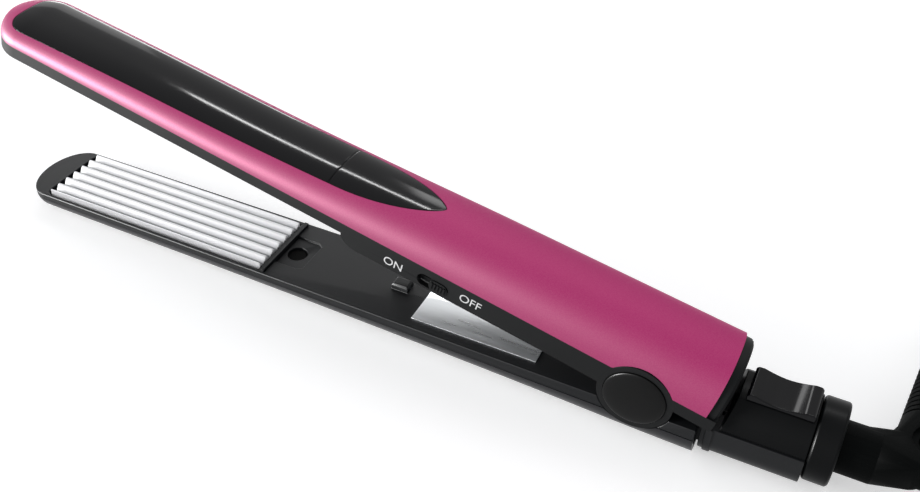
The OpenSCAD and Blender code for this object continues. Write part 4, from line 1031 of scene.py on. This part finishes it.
def ribbed_plate(name, node, body, place, lift, sign):
    """Plate whose face looks up (sign 1) or down (sign -1), with its back on the other side."""
    middle = np.linspace(PLATE_FRONT + 0.7, PLATE_REAR - 0.8, 12)
    x = np.concatenate([PLATE_FRONT + PLATE_END, middle, PLATE_REAR - PLATE_END[::-1]])[:, None]
    y = np.linspace(-PLATE_WIDE / 2, PLATE_WIDE / 2, 145)[None, :]
    ends = np.minimum(x - x[0], x[-1] - x)
    sides = np.minimum(y + PLATE_WIDE / 2, PLATE_WIDE / 2 - y)
    turn = 2 * math.pi * (y + PLATE_WIDE / 2) / RIB_PITCH
    wave = RIB_CREST - RIB_HEIGHT / 2 + RIB_HEIGHT / 2 * np.cos(turn)
    drop = np.maximum(soften(ends, END_RADIUS), soften(sides, SIDE_RADIUS))
    high, low = RIB_CREST + lift, RIB_CREST - RIB_HEIGHT + lift
    crest, back = (high, low - PLATE_T) if sign > 0 else (low, high + PLATE_T)
    face = np.stack([x + 0 * y, y + 0 * x, wave + lift - sign * drop], -1)
    rear = np.stack([x + 0 * y, y + 0 * x, back + 0 * x + 0 * y], -1)
    piece = thick_skin(name, place(face), place(rear), body)
    # the groove number says where painted shade darkens the plate
    shade = groove_shade(piece, place, crest, sign)
    piece.data.attributes.new("groove", "FLOAT", "POINT").data.foreach_set("value", shade)
    dress(piece, plate_metal)
    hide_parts(node)
    print(name + ":", len(piece.data.vertices), "points")


ribbed_plate("lower_plate", "lower_crimp_plate", "lower_arm", deck, 0.0, 1)
ribbed_plate("upper_plate", "upper_crimp_plate", "upper_arm", opened, UPPER_LIFT, -1)

# %% [markdown]
# A round cap hides each end of the hinge pin. It is turned: a flat seat, a short wall, a soft
# shoulder and a low dome.


# %% Pivot caps
CAP_R, DOME = 9.6, 0.9
CAP_SEAT, CAP_FACE = HALF_HINGE - 0.8, HALF_HINGE + 1.2  # from the arm's middle


def cap_profile():
    """Profile of a cap: [radius, distance from the arm's middle]."""
    t = arc(0, 90, 20)
    dome = np.stack([CAP_R * np.cos(t), CAP_FACE - DOME + DOME * np.sin(t)], -1)
    return np.concatenate([[[0.0, CAP_SEAT], [CAP_R, CAP_SEAT]], dome])


for label, side in (("near", -1), ("far", 1)):
    def at_pivot(grid, side=side):
        """Turns the cap's axis across the arm and puts it on the hinge axis."""
        return opened(np.stack([grid[..., 0], side * grid[..., 2], grid[..., 1] + PIVOT_Z], -1))

    cap = spun(f"cap_{label}", cap_profile(), at_pivot, "upper_arm")
    dress(cap, cap_black)
    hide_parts(f"pivot_cap_{label}")
    print(cap.name + ":", len(cap.data.vertices), "points")

# %% [markdown]
# The housings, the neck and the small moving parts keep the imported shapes, with eased edges. The
# housings are matt and grained, and the lock button is polished so that a thumb finds it.

# %% Eased solids and their finishes
for node, body, material, slot_name, width, segments in (
    ("lower_housing", "lower_arm", deck_plastic, "charcoal", 0.25, 2),
    ("upper_housing", "upper_arm", charcoal, "charcoal", 0.2, 2),
    ("tail_top", "lower_arm", satin_black, "satin_black", 0.3, 2),
    ("tail_collar", "lower_arm", satin_black, "satin_black", 0.3, 2),
    ("lower_plate_frame", "lower_arm", deck_plastic, "charcoal", 0.15, 2),
    ("lock_slider", "lock", gloss_black, "gloss_black", 0.4, 3),
    ("switch_slider", "switch", charcoal, "charcoal", 0.12, 2),
    ("rating_label", "lower_arm", foil, "foil", 0.05, 1),
    ("cord_boot", "cord", rubber, "boot", 0.15, 2),
):
    dress(eased(node, body, width, segments), material)
    print("eased:", node, width, "mm")
dress(plug, rubber)

# %% [markdown]
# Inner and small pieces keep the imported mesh: heaters, clips, screws, pin, spring, board and the
# like. Their shapes are plain stampings and turnings, so a finish is all that they need.

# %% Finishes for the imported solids
KEPT = {
    "upper_plate_frame": charcoal, "lower_heater": ceramic, "upper_heater": ceramic,
    "lower_heater_clip": steel, "upper_heater_clip": steel, "lower_screw": black_steel,
    "upper_screw": black_steel, "hinge_pin": steel, "return_spring": steel, "switch_body": charcoal,
    "circuit_board": board_green, "lock_catch": charcoal, "plug_pins": chrome,
}
for node, material in KEPT.items():
    dress(frame["nodes"][node], material)
dress(cord, cord_sheath)
dress(cord_tie, tape)
print("packed solids with a finish:", len(KEPT))

# %% [markdown]
# ON and OFF are printed in white beside the switch, so that a thumb can't mistake the way. The
# words are made of text curves, turned into a mesh and laid against the slightly sloping wall,
# with hardly any thickness of their own.


# %% Letters at the switch
LETTER_SHARE = 0.7  # a capital's height as a share of the font's size
LETTER_T, LETTER_GAP = 0.02, 0.03


def wall_text(name, words, x, z, height):
    """Flat printed word on the near wall of the upper housing, reading towards the hinge."""
    font = bpy.data.curves.new(name, "FONT")
    font.body = words
    font.size = height / LETTER_SHARE
    font.extrude = LETTER_T
    font.align_x = "CENTER"
    font.align_y = "CENTER"
    sample = linked(name + "_curve", font)
    bpy.context.view_layer.update()
    graph = bpy.context.evaluated_depsgraph_get()
    mesh = bpy.data.meshes.new_from_object(sample.evaluated_get(graph))
    bpy.data.objects.remove(sample)
    flat = np.zeros(len(mesh.vertices) * 3)
    mesh.vertices.foreach_get("co", flat)
    flat = flat.reshape(-1, 3)
    px = x + flat[:, 0]
    wall = -half_width(px) - LETTER_GAP
    place = opened(np.stack([px, wall - flat[:, 2], z + flat[:, 1]], -1))
    mesh.vertices.foreach_set("co", place.ravel())
    mesh.name = name
    piece = linked(name, mesh)
    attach(piece, "upper_arm")
    dress(piece, print_white)
    print(name + ":", len(mesh.vertices), "points")


wall_text("word_on", "ON", -82.0, 4.3, 3.0)
wall_text("word_off", "OFF", -55.5, 6.0, 3.0)
